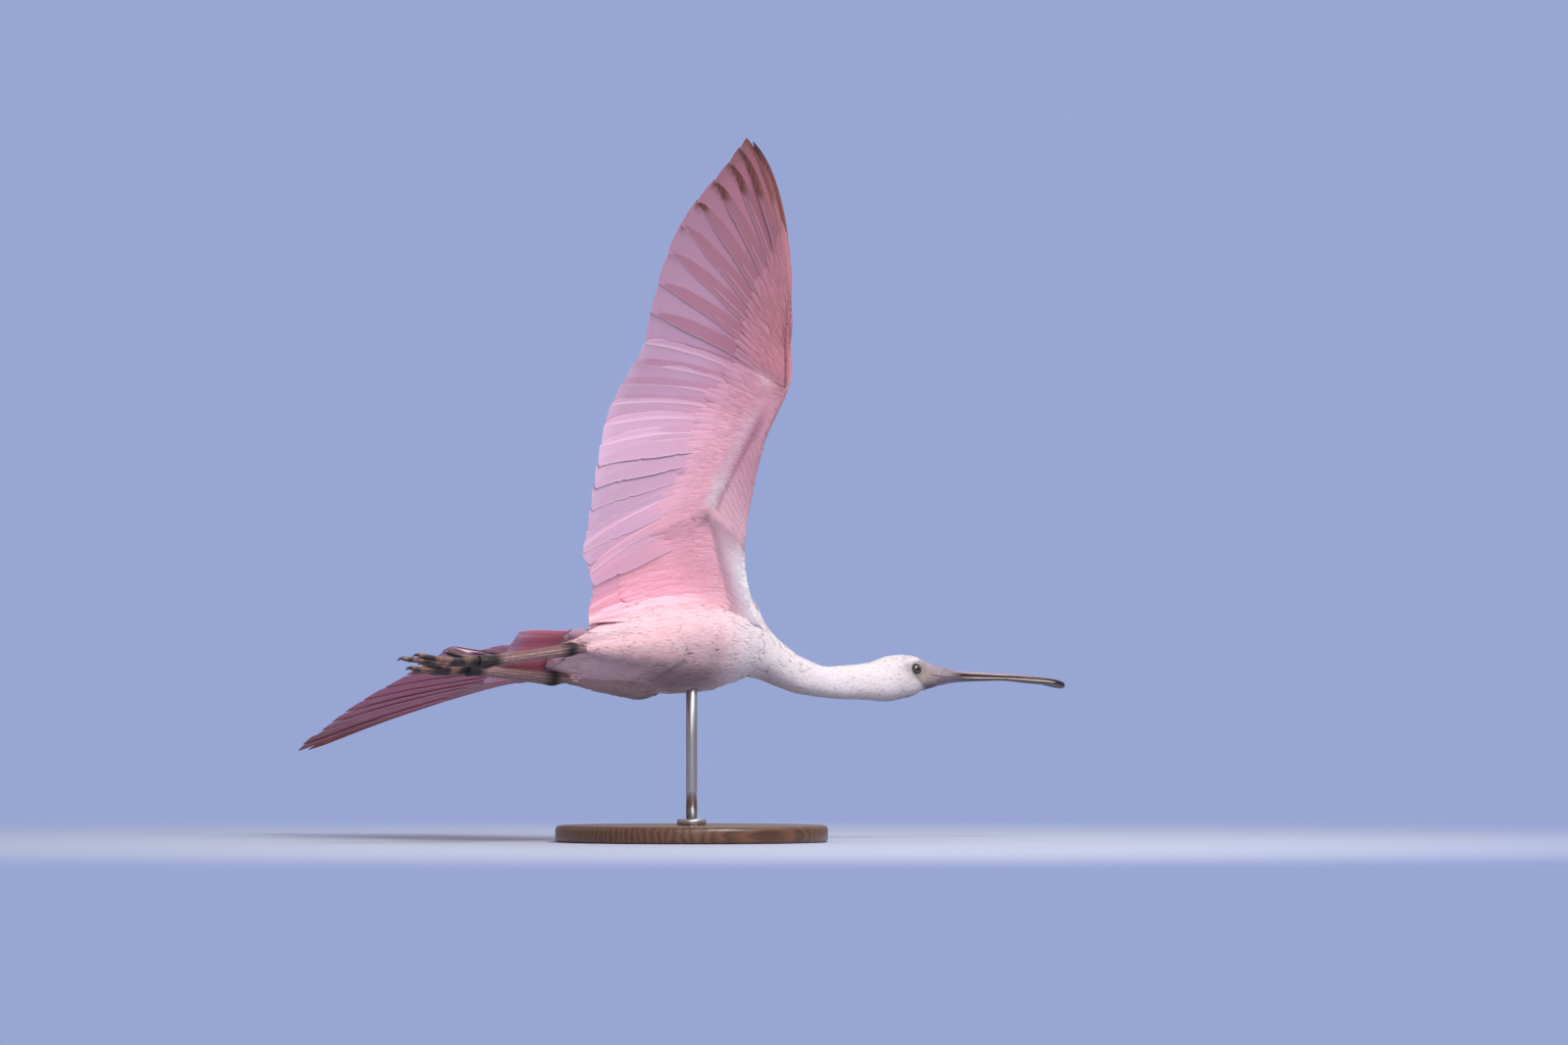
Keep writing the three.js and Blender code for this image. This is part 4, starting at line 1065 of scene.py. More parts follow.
def tint_chain(nt, coord, scale, amount, detail=3.0, bright=1.0, distortion=0.0):
    """The tint attribute times a soft noise between 1-amount and 1+amount."""
    att = N(nt, "ShaderNodeAttribute", attribute_name="tint")
    noise = N(nt, "ShaderNodeTexNoise", Scale=scale, Detail=detail, Distortion=distortion)
    nt.links.new(coord, noise.inputs["Vector"])
    ramp = N(nt, "ShaderNodeMapRange")
    ramp.inputs["From Min"].default_value = 0.25
    ramp.inputs["From Max"].default_value = 0.75
    ramp.inputs["To Min"].default_value = bright - amount
    ramp.inputs["To Max"].default_value = bright + amount
    nt.links.new(noise.outputs["Fac"], ramp.inputs["Value"])
    mul = N(nt, "ShaderNodeVectorMath", operation="SCALE")
    nt.links.new(att.outputs["Color"], mul.inputs[0])
    nt.links.new(ramp.outputs["Result"], mul.inputs["Scale"])
    return mul.outputs["Vector"], noise


def feather_material(name, rough=0.62, sheen=0.25, barb=0.10, bump=0.25, spec=0.25):
    m, nt, bsdf = new_material(name)
    uv = N(nt, "ShaderNodeUVMap", uv_map="vane")
    sep = N(nt, "ShaderNodeSeparateXYZ")
    nt.links.new(uv.outputs["UV"], sep.inputs[0])
    ab = N(nt, "ShaderNodeMath", operation="ABSOLUTE")
    nt.links.new(sep.outputs["Y"], ab.inputs[0])
    # barbs run outwards and towards the tip
    k = N(nt, "ShaderNodeMath", operation="SUBTRACT")
    nt.links.new(sep.outputs["X"], k.inputs[0])
    nt.links.new(ab.outputs[0], k.inputs[1])
    kx = N(nt, "ShaderNodeMath", operation="MULTIPLY")
    kx.inputs[1].default_value = 9.0
    nt.links.new(k.outputs[0], kx.inputs[0])
    comb = N(nt, "ShaderNodeCombineXYZ")
    nt.links.new(kx.outputs[0], comb.inputs["X"])
    nt.links.new(sep.outputs["Y"], comb.inputs["Y"])
    col, noise = tint_chain(nt, comb.outputs[0], 1.6, barb, detail=4.0)
    nt.links.new(col, bsdf.inputs["Base Color"])
    bp = N(nt, "ShaderNodeBump", Strength=bump, Distance=0.0004)
    nt.links.new(noise.outputs["Fac"], bp.inputs["Height"])
    nt.links.new(bp.outputs["Normal"], bsdf.inputs["Normal"])
    bsdf.inputs["Roughness"].default_value = rough
    bsdf.inputs["Specular IOR Level"].default_value = spec
    bsdf.inputs["Sheen Weight"].default_value = sheen
    bsdf.inputs["Sheen Roughness"].default_value = 0.5
    return m


def skin_material(name, rough=0.6, scale=260.0, amount=0.1, bump=0.4, spec=0.35, dist=0.0004):
    m, nt, bsdf = new_material(name)
    tc = N(nt, "ShaderNodeTexCoord")
    col, noise = tint_chain(nt, tc.outputs["Object"], scale, amount, detail=5.0)
    nt.links.new(col, bsdf.inputs["Base Color"])
    vor = N(nt, "ShaderNodeTexVoronoi", Scale=scale * 3.2)
    nt.links.new(tc.outputs["Object"], vor.inputs["Vector"])
    add = N(nt, "ShaderNodeMath", operation="ADD")
    nt.links.new(noise.outputs["Fac"], add.inputs[0])
    nt.links.new(vor.outputs["Distance"], add.inputs[1])
    bp = N(nt, "ShaderNodeBump", Strength=bump, Distance=dist)
    nt.links.new(add.outputs[0], bp.inputs["Height"])
    nt.links.new(bp.outputs["Normal"], bsdf.inputs["Normal"])
    bsdf.inputs["Roughness"].default_value = rough
    bsdf.inputs["Specular IOR Level"].default_value = spec
    return m


MAT_SKIN = skin_material("skin", rough=0.55, amount=0.08, bump=0.35)
MAT_DOWN = feather_material("down", rough=0.75, sheen=0.35, barb=0.08, bump=0.15, spec=0.15)
MAT_VANE = feather_material("vane", rough=0.6, sheen=0.2, barb=0.07, bump=0.25, spec=0.25)
MAT_FLIGHT = feather_material("flight", rough=0.5, sheen=0.15, barb=0.055, bump=0.3, spec=0.3)
skin.data.materials.append(MAT_SKIN)
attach(skin, "root")
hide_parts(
    "trunk", "neck", "head", "leg_right_thigh", "leg_left_thigh",
    "wing_right_arm", "wing_left_arm", "wing_right_hand", "wing_left_hand",
)

# ------------------------------------------------------------------ soft plumage of body, neck, head and thighs
def soft_coat():
    """Two layers rooted on the union's skin and the head: broad overlapping feathers that close
    the coat, and slim tufts over them that soften it."""
    allq = np.concatenate([skin_q, grid_faces(len(HX), len(HT), wrap=True) + len(skin_v)])
    mid = surf_v[allq].mean(1)
    fcls, fa_, fb_, fi = locate(mid)
    is_head = np.arange(len(allq)) >= len(skin_q)
    name = np.array(NAMES)[fcls].astype(str)
    trunk, neck = name == "trunk", name == "neck"
    thigh, wingy = np.char.startswith(name, "thigh"), np.char.startswith(name, "wing")
    x = mid[:, 0]
    bare_f = bare(mid[:, 0], mid[:, 2])
    keep = trunk | thigh | (wingy & (fa_ < 3.0)) | (neck & (x > 30))
    keep &= ~(is_head & (x < 216))
    keep &= ~(~is_head & (x > 218))
    keep &= ~(neck & (bare_f > 0.5) & (x > 225))
    made = {}
    for layer in ("broad", "slim"):
        broad = layer == "broad"
        nx = keyed([[30, 4.2], [90, 3.6], [170, 3.0], [215, 2.5], [240, 2.0], [262, 1.7]], x)[:, 0]
        spacing = np.where(neck, nx, 5.0 if broad else 2.5)
        if not broad:
            spacing = np.where(neck, nx * 0.54, spacing)
        spacing[thigh] = 4.2 if broad else 2.3
        spacing[wingy] = 4.6 if broad else 2.6
        p, f = scatter(surf_v, allq, spacing, keep)
        c, a, b, k = locate(p)
        d = cloud["D"][k]
        nm = np.array(NAMES)[c].astype(str)
        ktr, kne = nm == "trunk", nm == "neck"
        kth, kwi = np.char.startswith(nm, "thigh"), np.char.startswith(nm, "wing")
        px = p[:, 0]
        neck_len = keyed([[30, 17], [70, 14], [120, 12], [180, 10], [215, 8], [235, 6], [250, 4.6], [262, 3.6]], px)[:, 0]
        length = np.where(kne, neck_len, np.where(ktr, 21.0, 17.0)) * rng.uniform(0.8, 1.2, len(p))
        if broad:
            half = length * rng.uniform(0.20, 0.26, len(p))
        else:
            half = length * rng.uniform(0.042, 0.062, len(p))
            length = length * 0.85
        kk = nearest(surf_tree, p)
        n = surf_n[kk]
        d = unit(d - n * (d * n).sum(1, keepdims=True))
        s = np.cross(n, d)
        lock = ripple(p, 30, 21) * 0.14 + ripple(p, 9, 22) * 0.08
        d = unit(d + s * (rng.normal(0, 0.05 if broad else 0.09, len(p)) + lock)[:, None])
        top = np.where(kne, keyed([[30, 1.9], [100, 1.35], [200, 0.8], [250, 0.5], [265, 0.35]], px)[:, 0], np.where(ktr, 1.9, 1.6))
        fluff = 1 + np.where(kne, 0.12, 0.35) * ripple(p, 24, 23)
        st = np.array([0, 0.22, 0.5, 0.78, 1.0]) if broad else np.array([0, 0.3, 0.68, 1.0])
        P = p[:, None] + d[:, None] * (length[:, None] * st)[..., None]
        if broad:
            hgt = top[:, None] * np.array([-0.4, 0.15, 0.5, 0.72, 0.68]) * rng.uniform(0.85, 1.1, len(p))[:, None]
        else:
            hgt = top[:, None] * np.array([-0.3, 0.62, 0.86, 0.52]) * (rng.uniform(0.85, 1.15, len(p)) * fluff)[:, None]
        if not broad:
            hgt = np.where(kne[:, None], hgt * np.array([1, 0.85, 0.78, 0.78]), hgt)
        P[:, 1:], Nn1 = lay(P[:, 1:], hgt[:, 1:])
        P[:, 0] = p - n * 0.5
        Nn = np.concatenate([n[:, None], Nn1], 1)
        width = half[:, None] * (np.array([0.8, 1.0, 0.72]) if broad else np.array([1.0, 0.72]))
        thick = np.full_like(width, 0.16) if broad else np.maximum(width * 0.35, 0.13)
        thick[kne] *= 0.8 if broad else 0.6
        col = coat_color(p, c, a, b)
        shade = 1 + rng.normal(0, 0.018 if broad else 0.03, len(p)) * np.where(kne, 0.5, 1.0)
        tone = np.array([0.97, 0.98, 1.0, 1.02, 1.03]) if broad else np.array([0.98, 1.0, 1.02, 1.03])
        colk = np.clip(col[:, None] * shade[:, None, None] * tone[None, :, None], 0, 0.97)
        uv = atlas(c, a, b)
        y = to_body(p)[:, 1]
        groups = {
            "trunk_right": (ktr | kwi) & (y < -16),
            "trunk_mid": (ktr | kwi) & (np.abs(y) <= 16),
            "trunk_left": (ktr | kwi) & (y > 16),
            "thighs": kth,
            "neck": kne & (px <= 205),
            "head": kne & (px > 205),
        }
        for gname, m in groups.items():
            if m.any():
                run = np.linalg.norm(np.diff(P[m], axis=1), axis=-1) / (length[m][:, None] * np.diff(st))
                m = np.flatnonzero(m)[((run > 0.55) & (run < 1.45)).all(1)]
                b_ = lens(P[m], Nn[m], width[m], thick[m], colk[m], uv[m], sides=4 if broad else 3,
                          round_=0.2, sag=0.045 if gname in ("neck", "head") else 0.02)
                coat(f"coat_{gname}_{layer}", [b_], MAT_DOWN)
                made[gname + layer] = len(m)
    return made


counts = soft_coat()


# ------------------------------------------------------------------ flight feathers
def tone_row(table, i):
    return keyed(table, float(i))


FAR_WING_SHADE_ROSE = (lin(200, 86, 116), 0.8)  # the left wing's vanes are painted a deeper, darker rose: painted shade on the far wing
UNDER_LIT_THROUGH = [  # feather, colour of the single layer of vane on the lower side, with painted light shining through it
    [-1, *lin(250, 184, 203)],
    [2, *lin(246, 180, 202)],
    [5, *lin(222, 172, 196)],
    [8, *lin(206, 168, 198)],
    [12, *lin(204, 166, 194)],
    [14.5, *lin(194, 154, 184)],
    [18, *lin(204, 162, 194)],
    [22, *lin(200, 147, 172)],
    [25, *lin(196, 124, 142)],
    [27, *lin(178, 108, 118)],
]
UNDER_OVERLAP_SHADE = [  # the same, darker with painted shade where the next feather lies over it
    [-1, *lin(226, 158, 178)],
    [8, *lin(196, 152, 182)],
    [14, *lin(188, 142, 170)],
    [18, *lin(188, 132, 156)],
    [23, *lin(182, 122, 142)],
    [27, *lin(156, 100, 112)],
]
UNDER_ROOT = [  # towards the coverts
    [-1, *lin(250, 180, 199)],
    [4, *lin(240, 174, 194)],
    [8, *lin(220, 166, 190)],
    [14, *lin(208, 150, 172)],
    [18, *lin(182, 122, 142)],
    [27, *lin(162, 106, 120)],
]


def feather_under_color(side, i, s, e, lead, trail, layer2):
    """Colour on the lower side; s along, e in mm across (+ trailing)."""
    s, e, layer2 = np.broadcast_arrays(s, e, layer2)
    light, dark, root = (tone_row(t, i) for t in (UNDER_LIT_THROUGH, UNDER_OVERLAP_SHADE, UNDER_ROOT))
    if side == "left":
        light, dark, root = (x * (1 - FAR_WING_SHADE_ROSE[1]) + FAR_WING_SHADE_ROSE[0] * FAR_WING_SHADE_ROSE[1] for x in (light, dark, root))
    # painted shade where the next feather lies over this one
    c = mix(light, dark, layer2 * float(keyed([[0, 0.3], [13, 0.35], [18, 0.9]], min(max(float(i), 0.0), 18.0))[0]))
    prim = float(smooth(16.5, 19.5, float(i)))
    c = mix(c, root, smooth(0.66, 0.22, s) * 0.9)
    # pale along the trailing border, partly the vane's own pale edge and partly painted light, and along the shaft,
    # with a thin painted shade beside each
    a = np.maximum(trail, 0.5)
    rim = smooth(a - 1.3, a - 0.5, e)
    c = mix(c, lin(244, 216, 232), rim * (0.85 - 0.45 * prim) * smooth(1.0, 0.9, s))
    c = mix(c, dark * 0.88, np.exp(-(((e - a + 2.6) / 1.1) ** 2)) * 0.4)
    shaft = np.exp(-((e / 0.75) ** 2))
    c = mix(c, lin(232, 196, 212), shaft * (0.5 - 0.2 * prim))
    c = mix(c, dark * 0.8, np.exp(-(((e + 1.6) / 0.8) ** 2)) * 0.3)
    c = mix(c, lin(214, 184, 214), smooth(0.9, 1.0, s) * 0.5 * (1 - prim))
    if i >= 20:
        f = float(i)
        s0 = float(keyed([[20, 0.95], [22, 0.90], [23, 0.82], [24, 0.74], [25, 0.66], [26, 0.50], [27, 0.02]], f)[0])
        reach = float(keyed([[20, 1.0], [22, 2.4], [24, 3.6], [26, 3.4], [27, 3.2]], f)[0])
        strip = smooth(reach, reach - 0.9, e) * smooth(s0, s0 + 0.07, s)
        speck = 0.75 + 0.25 * np.sin(s * 130 + e * 2.1)
        warm = mix(lin(70, 32, 28), lin(156, 84, 58), 0.5 + 0.5 * np.sin(e * 2.6 + s * 21))
        tan = smooth(0.86, 0.97, s) * float(smooth(22.5, 25, f)) * 0.55
        c = mix(c, lin(150, 112, 112), tan)
        c = mix(c, warm, np.clip(strip * 0.92 * speck, 0, 1))
        # painted light through the vanes: the dark leading vane of the feather behind shows through this one's trailing
        # border
        b0 = float(keyed([[20, 1.0], [22, 0.92], [23, 0.83], [24, 0.76], [25, 0.68], [26, 0.56], [27, 0.46]], f)[0])
        through = layer2 * smooth(a - 9.5, a - 6.0, e) * smooth(b0, b0 + 0.08, s) * float(smooth(20.5, 22.5, f))
        c = mix(c, mix(lin(84, 36, 30), lin(138, 72, 54), 0.5 + 0.5 * np.sin(s * 90 + e)), np.clip(through * 0.92, 0, 1))
        # a warm shaft in the outermost feathers
        c = mix(c, lin(150, 84, 62), shaft * 0.55 * float(smooth(23, 27, f)))
    return c


def feather_upper_color(side, i, s, e, lead, trail):
    s, e = np.broadcast_arrays(s, e)
    prim = smooth(16.5, 19.5, float(i))
    c = mix(lin(238, 196, 210), lin(226, 168, 188), np.full(s.shape, float(prim)))
    c = mix(c, lin(246, 220, 228), smooth(0, 20, e) * 0.5)
    shaft = np.exp(-((e / 0.9) ** 2))
    c = mix(c, lin(196, 110, 124), shaft * 0.55)
    if i >= 20:
        s0 = float(keyed([[20, 0.96], [22, 0.86], [24, 0.66], [26, 0.2], [27, -0.1]], float(i))[0])
        strip = smooth(3.0, 0.5, e) * smooth(s0, s0 + 0.14, s)
        tipb = smooth(0.88, 0.99, s) * smooth(20, 24, float(i))
        c = mix(c, BROWN, np.clip(strip * 0.8 + tipb * 0.8, 0, 1))
    return c


SEG = 56
SALONG = 1 - (1 - np.linspace(0, 1, SEG)) ** 1.35


def flight_feather(P, Ln, Nn, lead, trail, overlap, under, upper, strip, skew=0.0, slope=0.05, vane_t=0.13, quill_r=1.0, rough=0.4, seed=0):
    """One closed vane with its shaft. P (k,3) centre line, Ln towards the leading side, Nn upwards;
    lead and trail (k,) half widths; overlap (k,) is where the feather behind starts, in mm to the
    trailing side; skew slants the tip along the outline."""
    g = np.random.default_rng(seed)
    k = len(P)
    s = SALONG
    jag = g.normal(0, 0.10, k)
    a = trail + jag * rough * (trail > 3)
    for _ in range(int(g.integers(1, 4))):
        at = int(g.integers(int(k * 0.4), k - 8))
        a[at] -= g.uniform(0.5, 1.6) * (a[at] > 8)
    b = lead + np.roll(jag, 3) * rough * 0.5 * (lead > 3)
    ec = np.clip(overlap, 0.12 * a, np.maximum(a - 0.9, 0.13 * a))
    q = np.minimum(quill_r * (1 - 0.85 * s), 0.32 * np.maximum(a, 0.3))
    cols = np.stack(
        [
            -b, -b * 0.82, -b * 0.5, -q * 1.3, -q * 0.5, q * 0.5, q * 1.3,
            q * 1.3 + (ec - q * 1.3) * 0.35, q * 1.3 + (ec - q * 1.3) * 0.7,
            ec - np.minimum(0.35, 0.05 * a), ec + np.minimum(0.35, 0.05 * a), (ec + a) * 0.5,
            a - np.minimum(1.2, a * 0.12), a - np.minimum(0.5, a * 0.05), a,
        ],
        1,
    )
    cols = np.maximum.accumulate(cols, 1)
    m = cols.shape[1]
    ridge = np.exp(-((cols / np.maximum(q[:, None], 0.05)) ** 2) * 0.8)
    tip_close = np.clip((a + b) / 5.0, 0.3, 1)[:, None]
    edge_thin = np.ones(m)
    edge_thin[[0, -1]] = 0.35
    t_up = (vane_t * edge_thin[None] + q[:, None] * 0.35 * ridge) * tip_close
    t_dn = (vane_t * edge_thin[None] + q[:, None] * 0.75 * ridge) * tip_close
    z = -slope * cols - 0.0003 * cols * np.abs(cols)
    z = z + 0.07 * np.sin(cols * 0.8 + s[:, None] * 9 + seed) * smooth(0.1, 0.5, s)[:, None]
    T = unit(np.gradient(P, axis=0))
    shift = skew * cols * smooth(0.55, 1.0, s)[:, None]
    mid = P[:, None] - Ln[:, None] * cols[..., None] + Nn[:, None] * z[..., None] + T[:, None] * shift[..., None]
    top = mid + Nn[:, None] * t_up[..., None]
    bot = mid - Nn[:, None] * t_dn[..., None]
    sg = np.repeat(s[:, None], m, 1)
    layer2 = smooth(-0.35, 0.35, cols - ec[:, None]) * (overlap < a - 0.9)[:, None]
    cu = under(sg, cols, layer2, a[:, None])
    ct = upper(sg, cols)
    co = np.concatenate([top.reshape(-1, 3), bot.reshape(-1, 3)])
    qt = grid_faces(k, m)
    qb = grid_faces(k, m, offset=k * m, flip=True)
    i = np.arange(k - 1)
    e0 = np.stack([i * m, (i + 1) * m, (i + 1) * m + k * m, i * m + k * m], -1)
    e1 = np.stack([i * m + m - 1, i * m + m - 1 + k * m, (i + 1) * m + m - 1 + k * m, (i + 1) * m + m - 1], -1)
    j = np.arange(m - 1)
    r0 = np.stack([j, j + k * m, j + 1 + k * m, j + 1], -1)
    e = (k - 1) * m
    r1 = np.stack([e + j, e + j + 1, e + j + 1 + k * m, e + j + k * m], -1)
    quads = np.concatenate([qt, qb, e0, e1, r0, r1])
    v = co[quads[(k // 2) * (m - 1) + 3]]
    if np.dot(np.cross(v[1] - v[0], v[2] - v[0]), Nn[k // 2]) < 0:
        quads = quads[:, ::-1]
    lo, hi = strip
    span = np.max(b) + np.max(a)
    across = (cols + np.max(b)) / span
    ut = np.stack([lo + (hi - lo) * (0.04 + 0.92 * across), 0.505 + 0.485 * sg], -1)
    ub = np.stack([lo + (hi - lo) * (0.04 + 0.92 * across), 0.01 + 0.485 * sg], -1)
    L = np.linalg.norm(np.diff(P, axis=0), axis=1).sum()
    va = np.stack([sg * L * 0.1 + seed * 7.3, cols * 0.1], -1)
    return dict(
        co=co,
        quads=quads,
        tris=np.zeros((0, 3), int),
        col=np.clip(np.concatenate([ct.reshape(-1, 3), cu.reshape(-1, 3)]), 0, 1),
        uv=np.concatenate([ut.reshape(-1, 2), ub.reshape(-1, 2)]),
        vane=np.concatenate([va.reshape(-1, 2)] * 2),
    )


def wing_flight(side):
    s = SALONG
    line = {}
    for i in range(-1, 28):
        reach = float(keyed([[-1, 0.98 if side == "right" else 0.9], [1, 0.97], [2.5, 0.95], [4, 0.945], [6, 0.965], [8, 0.985], [20, 0.985], [24, 0.985 if side == "right" else 1.02], [27, 0.985 if side == "right" else 1.035]], float(i))[0])
        p = wing_point(side, float(i), 1 + s * reach)
        n, t, u = wing_normal(side, float(i), 1 + s * reach)
        T = unit(np.gradient(p, axis=0))
        Lw = unit(np.cross(n, T))
        Lw = np.where(((Lw * u).sum(1) < 0)[:, None], -Lw, Lw)  # the leading side is outwards
        Nw = unit(np.cross(T, Lw))
        Nw = np.where((Nw[:, 2:3] < 0), -Nw, Nw)
        line[i] = (p, T, Lw, Nw)
    lead_w = {i: keyed([[-1, 12], [4, 10], [11, 9], [17, 9], [20, 9], [23, 7.5], [25, 5.2], [26, 3.0], [27, 2.2]], float(i))[0] for i in line}
    wedge = {i: keyed([[-1, 12], [4, 9], [11, 7], [17, 6], [20, 5.5], [24, 5], [27, 3]], float(i))[0] for i in line}
    batches = []
    for i in range(-1, 28):
        p, T, Lw, Nw = line[i]
        pointed = float(smooth(17.5, 20.5, float(i)))
        lead = lead_w[i] * (0.35 + 0.65 * smooth(0.0, 0.16, s))
        # the leading side narrows into the tip
        lead = lead * np.sqrt(np.clip(1 - s ** (14 - 7 * pointed), 0, 1))
        skew = 0.0
        if i > -1:
            pi, Ti = line[i - 1][0], line[i - 1][1]
            gap, has = np.zeros(SEG), np.zeros(SEG)
            for k in range(SEG):
                dd = p[k] - pi
                m = int(np.argmin((dd * dd).sum(1)))
                gap[k] = abs(float(np.dot(dd[m], Lw[k])))
                has[k] = s[m] + max(0.0, float(np.dot(dd[m], Ti[m]))) * (m == SEG - 1)
            past = has >= 1.0
            star = int(np.argmax(past)) if past.any() else SEG - 1
            dtip = pi[-1] - p[-1]
            g_tip = max(abs(float(np.dot(dtip, Lw[-1]))), 4.0)
            h_tip = float(np.dot(dtip, T[-1]))
            skew = float(np.clip(h_tip / g_tip, -0.8, 0.8)) * (1 - 0.45 * pointed)
            length = np.linalg.norm(np.diff(p, axis=0), axis=1).sum()
            drop = max(0.0, -(h_tip - skew * g_tip)) / length
            s_end = 1 - np.clip(drop, 0.035, 0.5)
            lead_in = lead_w[i - 1] * np.sqrt(np.clip(1 - np.clip(has, 0, 1) ** (14 - 7 * pointed), 0, 1))
            extra = wedge[i] * smooth(0, 0.35, s_end - s)
            trail = gap + extra + 0.6
            at_end = float(np.interp(s_end, s, gap)) + 0.6
            q = np.clip((s - s_end) / (1 - s_end), 0, 1)
            power = 5.0 - 3.3 * pointed
            trail = np.where(s > s_end, at_end * np.clip(1 - q ** power, 0, 1) ** (0.5 + 0.25 * pointed), trail)
            overlap = np.where(has >= 1.0, 999, gap - lead_in)
        else:
            trail = 22 * np.sqrt(np.clip(1 - s ** 5, 0, 1))
            overlap = np.full(SEG, 999.0)
        trail = np.minimum(trail, 34) * (0.25 + 0.75 * smooth(0.0, 0.16, s))
        trail = np.maximum(trail, 0.25)
        lead = np.maximum(lead, 0.25)
        strip = ((i + 1) / 29.0, (i + 2) / 29.0)
        batches.append(
            flight_feather(
                wing_level(side, p), wing_level(side, Lw), wing_level(side, Nw), lead, trail, overlap,
                lambda sa, e, l2, a, i=i: feather_under_color(side, i, sa, e, None, a, l2),
                lambda sa, e, i=i: feather_upper_color(side, i, sa, e, None, None),
                strip,
                skew=skew,
                slope=0.017,
                vane_t=0.11,
                quill_r=float(keyed([[-1, 0.8], [17, 1.2], [24, 1.7], [27, 1.6]], float(i))[0]),
                seed=100 + i + (50 if side == "left" else 0),
            )
        )
    secs, prims = batches[:19], batches[19:]
    a = coat(f"wing_{side}_secondary_feathers", secs, MAT_FLIGHT)
    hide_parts(f"wing_{side}_secondaries")
    b = coat(f"wing_{side}_primary_feathers", prims, MAT_FLIGHT)
    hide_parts(f"wing_{side}_primaries")


for _side in ("right", "left"):
    wing_flight(_side)


# ------------------------------------------------------------------ wing coverts
def back_along(w, r0, dist):
    """Places along r that lie dist millimetres behind r0; w and r0 (n,), dist (n, k)."""
    chord = np.linalg.norm(keyed(EDGE, w), axis=1)[:, None]
    tipv = np.linalg.norm(keyed(TIPS, w), axis=1)[:, None]
    first = np.maximum(1 - r0, 0)[:, None] * chord
    return np.where(
        dist < first, r0[:, None] + dist / np.maximum(chord, 1),
        np.maximum(r0, 1)[:, None] + (dist - first) / tipv,
    )


def covert_height(w, r, upper):
    """Millimetres from the wing's middle surface to the coverts' surface."""
    b = keyed(BUILD, w)
    p = keyed(THICK, np.clip(r, 0, 2))[..., 0]
    full = p * (b[..., 0] if upper else b[..., 1])
    over = 0.75 if upper else 1.1
    return full + np.where(r < 1.1, b[..., 5], b[..., 5] + (over - b[..., 5]) * smooth(1.1, 1.3, r)) - 0.35


def in_trunk(P, share=0.93):
    pb = to_body(P)
    k = keyed(TRUNK, pb[:, 0])
    h = np.where(pb[:, 2] > k[:, 0], k[:, 2], k[:, 3])
    return (((pb[:, 1] / k[:, 1]) ** 2 + ((pb[:, 2] - k[:, 0]) / h) ** 2) < share) & (pb[:, 0] < 30)


def covert_batch(side, upper, w, r0, length, half, lift, st, shape, sway, thick0, sides, tone=0.0, settle=0.0):
    ci = NAMES.index(f"wing_{side}_" + ("upper" if upper else "under"))
    n = len(w)
    R = back_along(w, r0, length[:, None] * st)
    W = np.clip(w[:, None] + sway[:, None] * st[None], -1, 27)
    nrm, _, _ = wing_normal(side, W, R)
    p = wing_point(side, W, R)
    hh = (covert_height(W, R, upper) + lift) * (1 - settle)
    if not upper:
        hh = hh * (1 - 0.85 * smooth(1.22, 1.5, R) * (w > 3)[:, None])
    sgn = 1 if upper else -1
    P = wing_level(side, p + sgn * nrm * hh[..., None])
    Nn = wing_level(side, sgn * nrm)
    width = half[:, None] * shape
    thick = np.full_like(width, thick0)
    rr = np.clip(R, 0, 1.7)
    col = wing_color(W, rr, upper)
    if not upper:
        # the hind ends take the tone of the quills they lie on, with its painted light
        for_tip = np.stack([keyed(UNDER_LIT_THROUGH, w), keyed(UNDER_ROOT, w)]).mean(0)
        blend = smooth(1.12, 1.5, R) * np.where(w < 5, 0.3, 0.8)[:, None]
        col = mix(col, for_tip[:, None], blend)
    col = col * (1 + tone * rng.normal(size=n))[:, None, None]
    uv = atlas(np.full(n, ci), np.clip(w, -1, 27), np.clip(r0, 0, 1.13))
    m = ~in_trunk(P[:, len(st) // 2])
    return lens(P[m], Nn[m], width[m], thick[m], np.clip(col[m], 0, 0.97), uv[m], sides=sides)


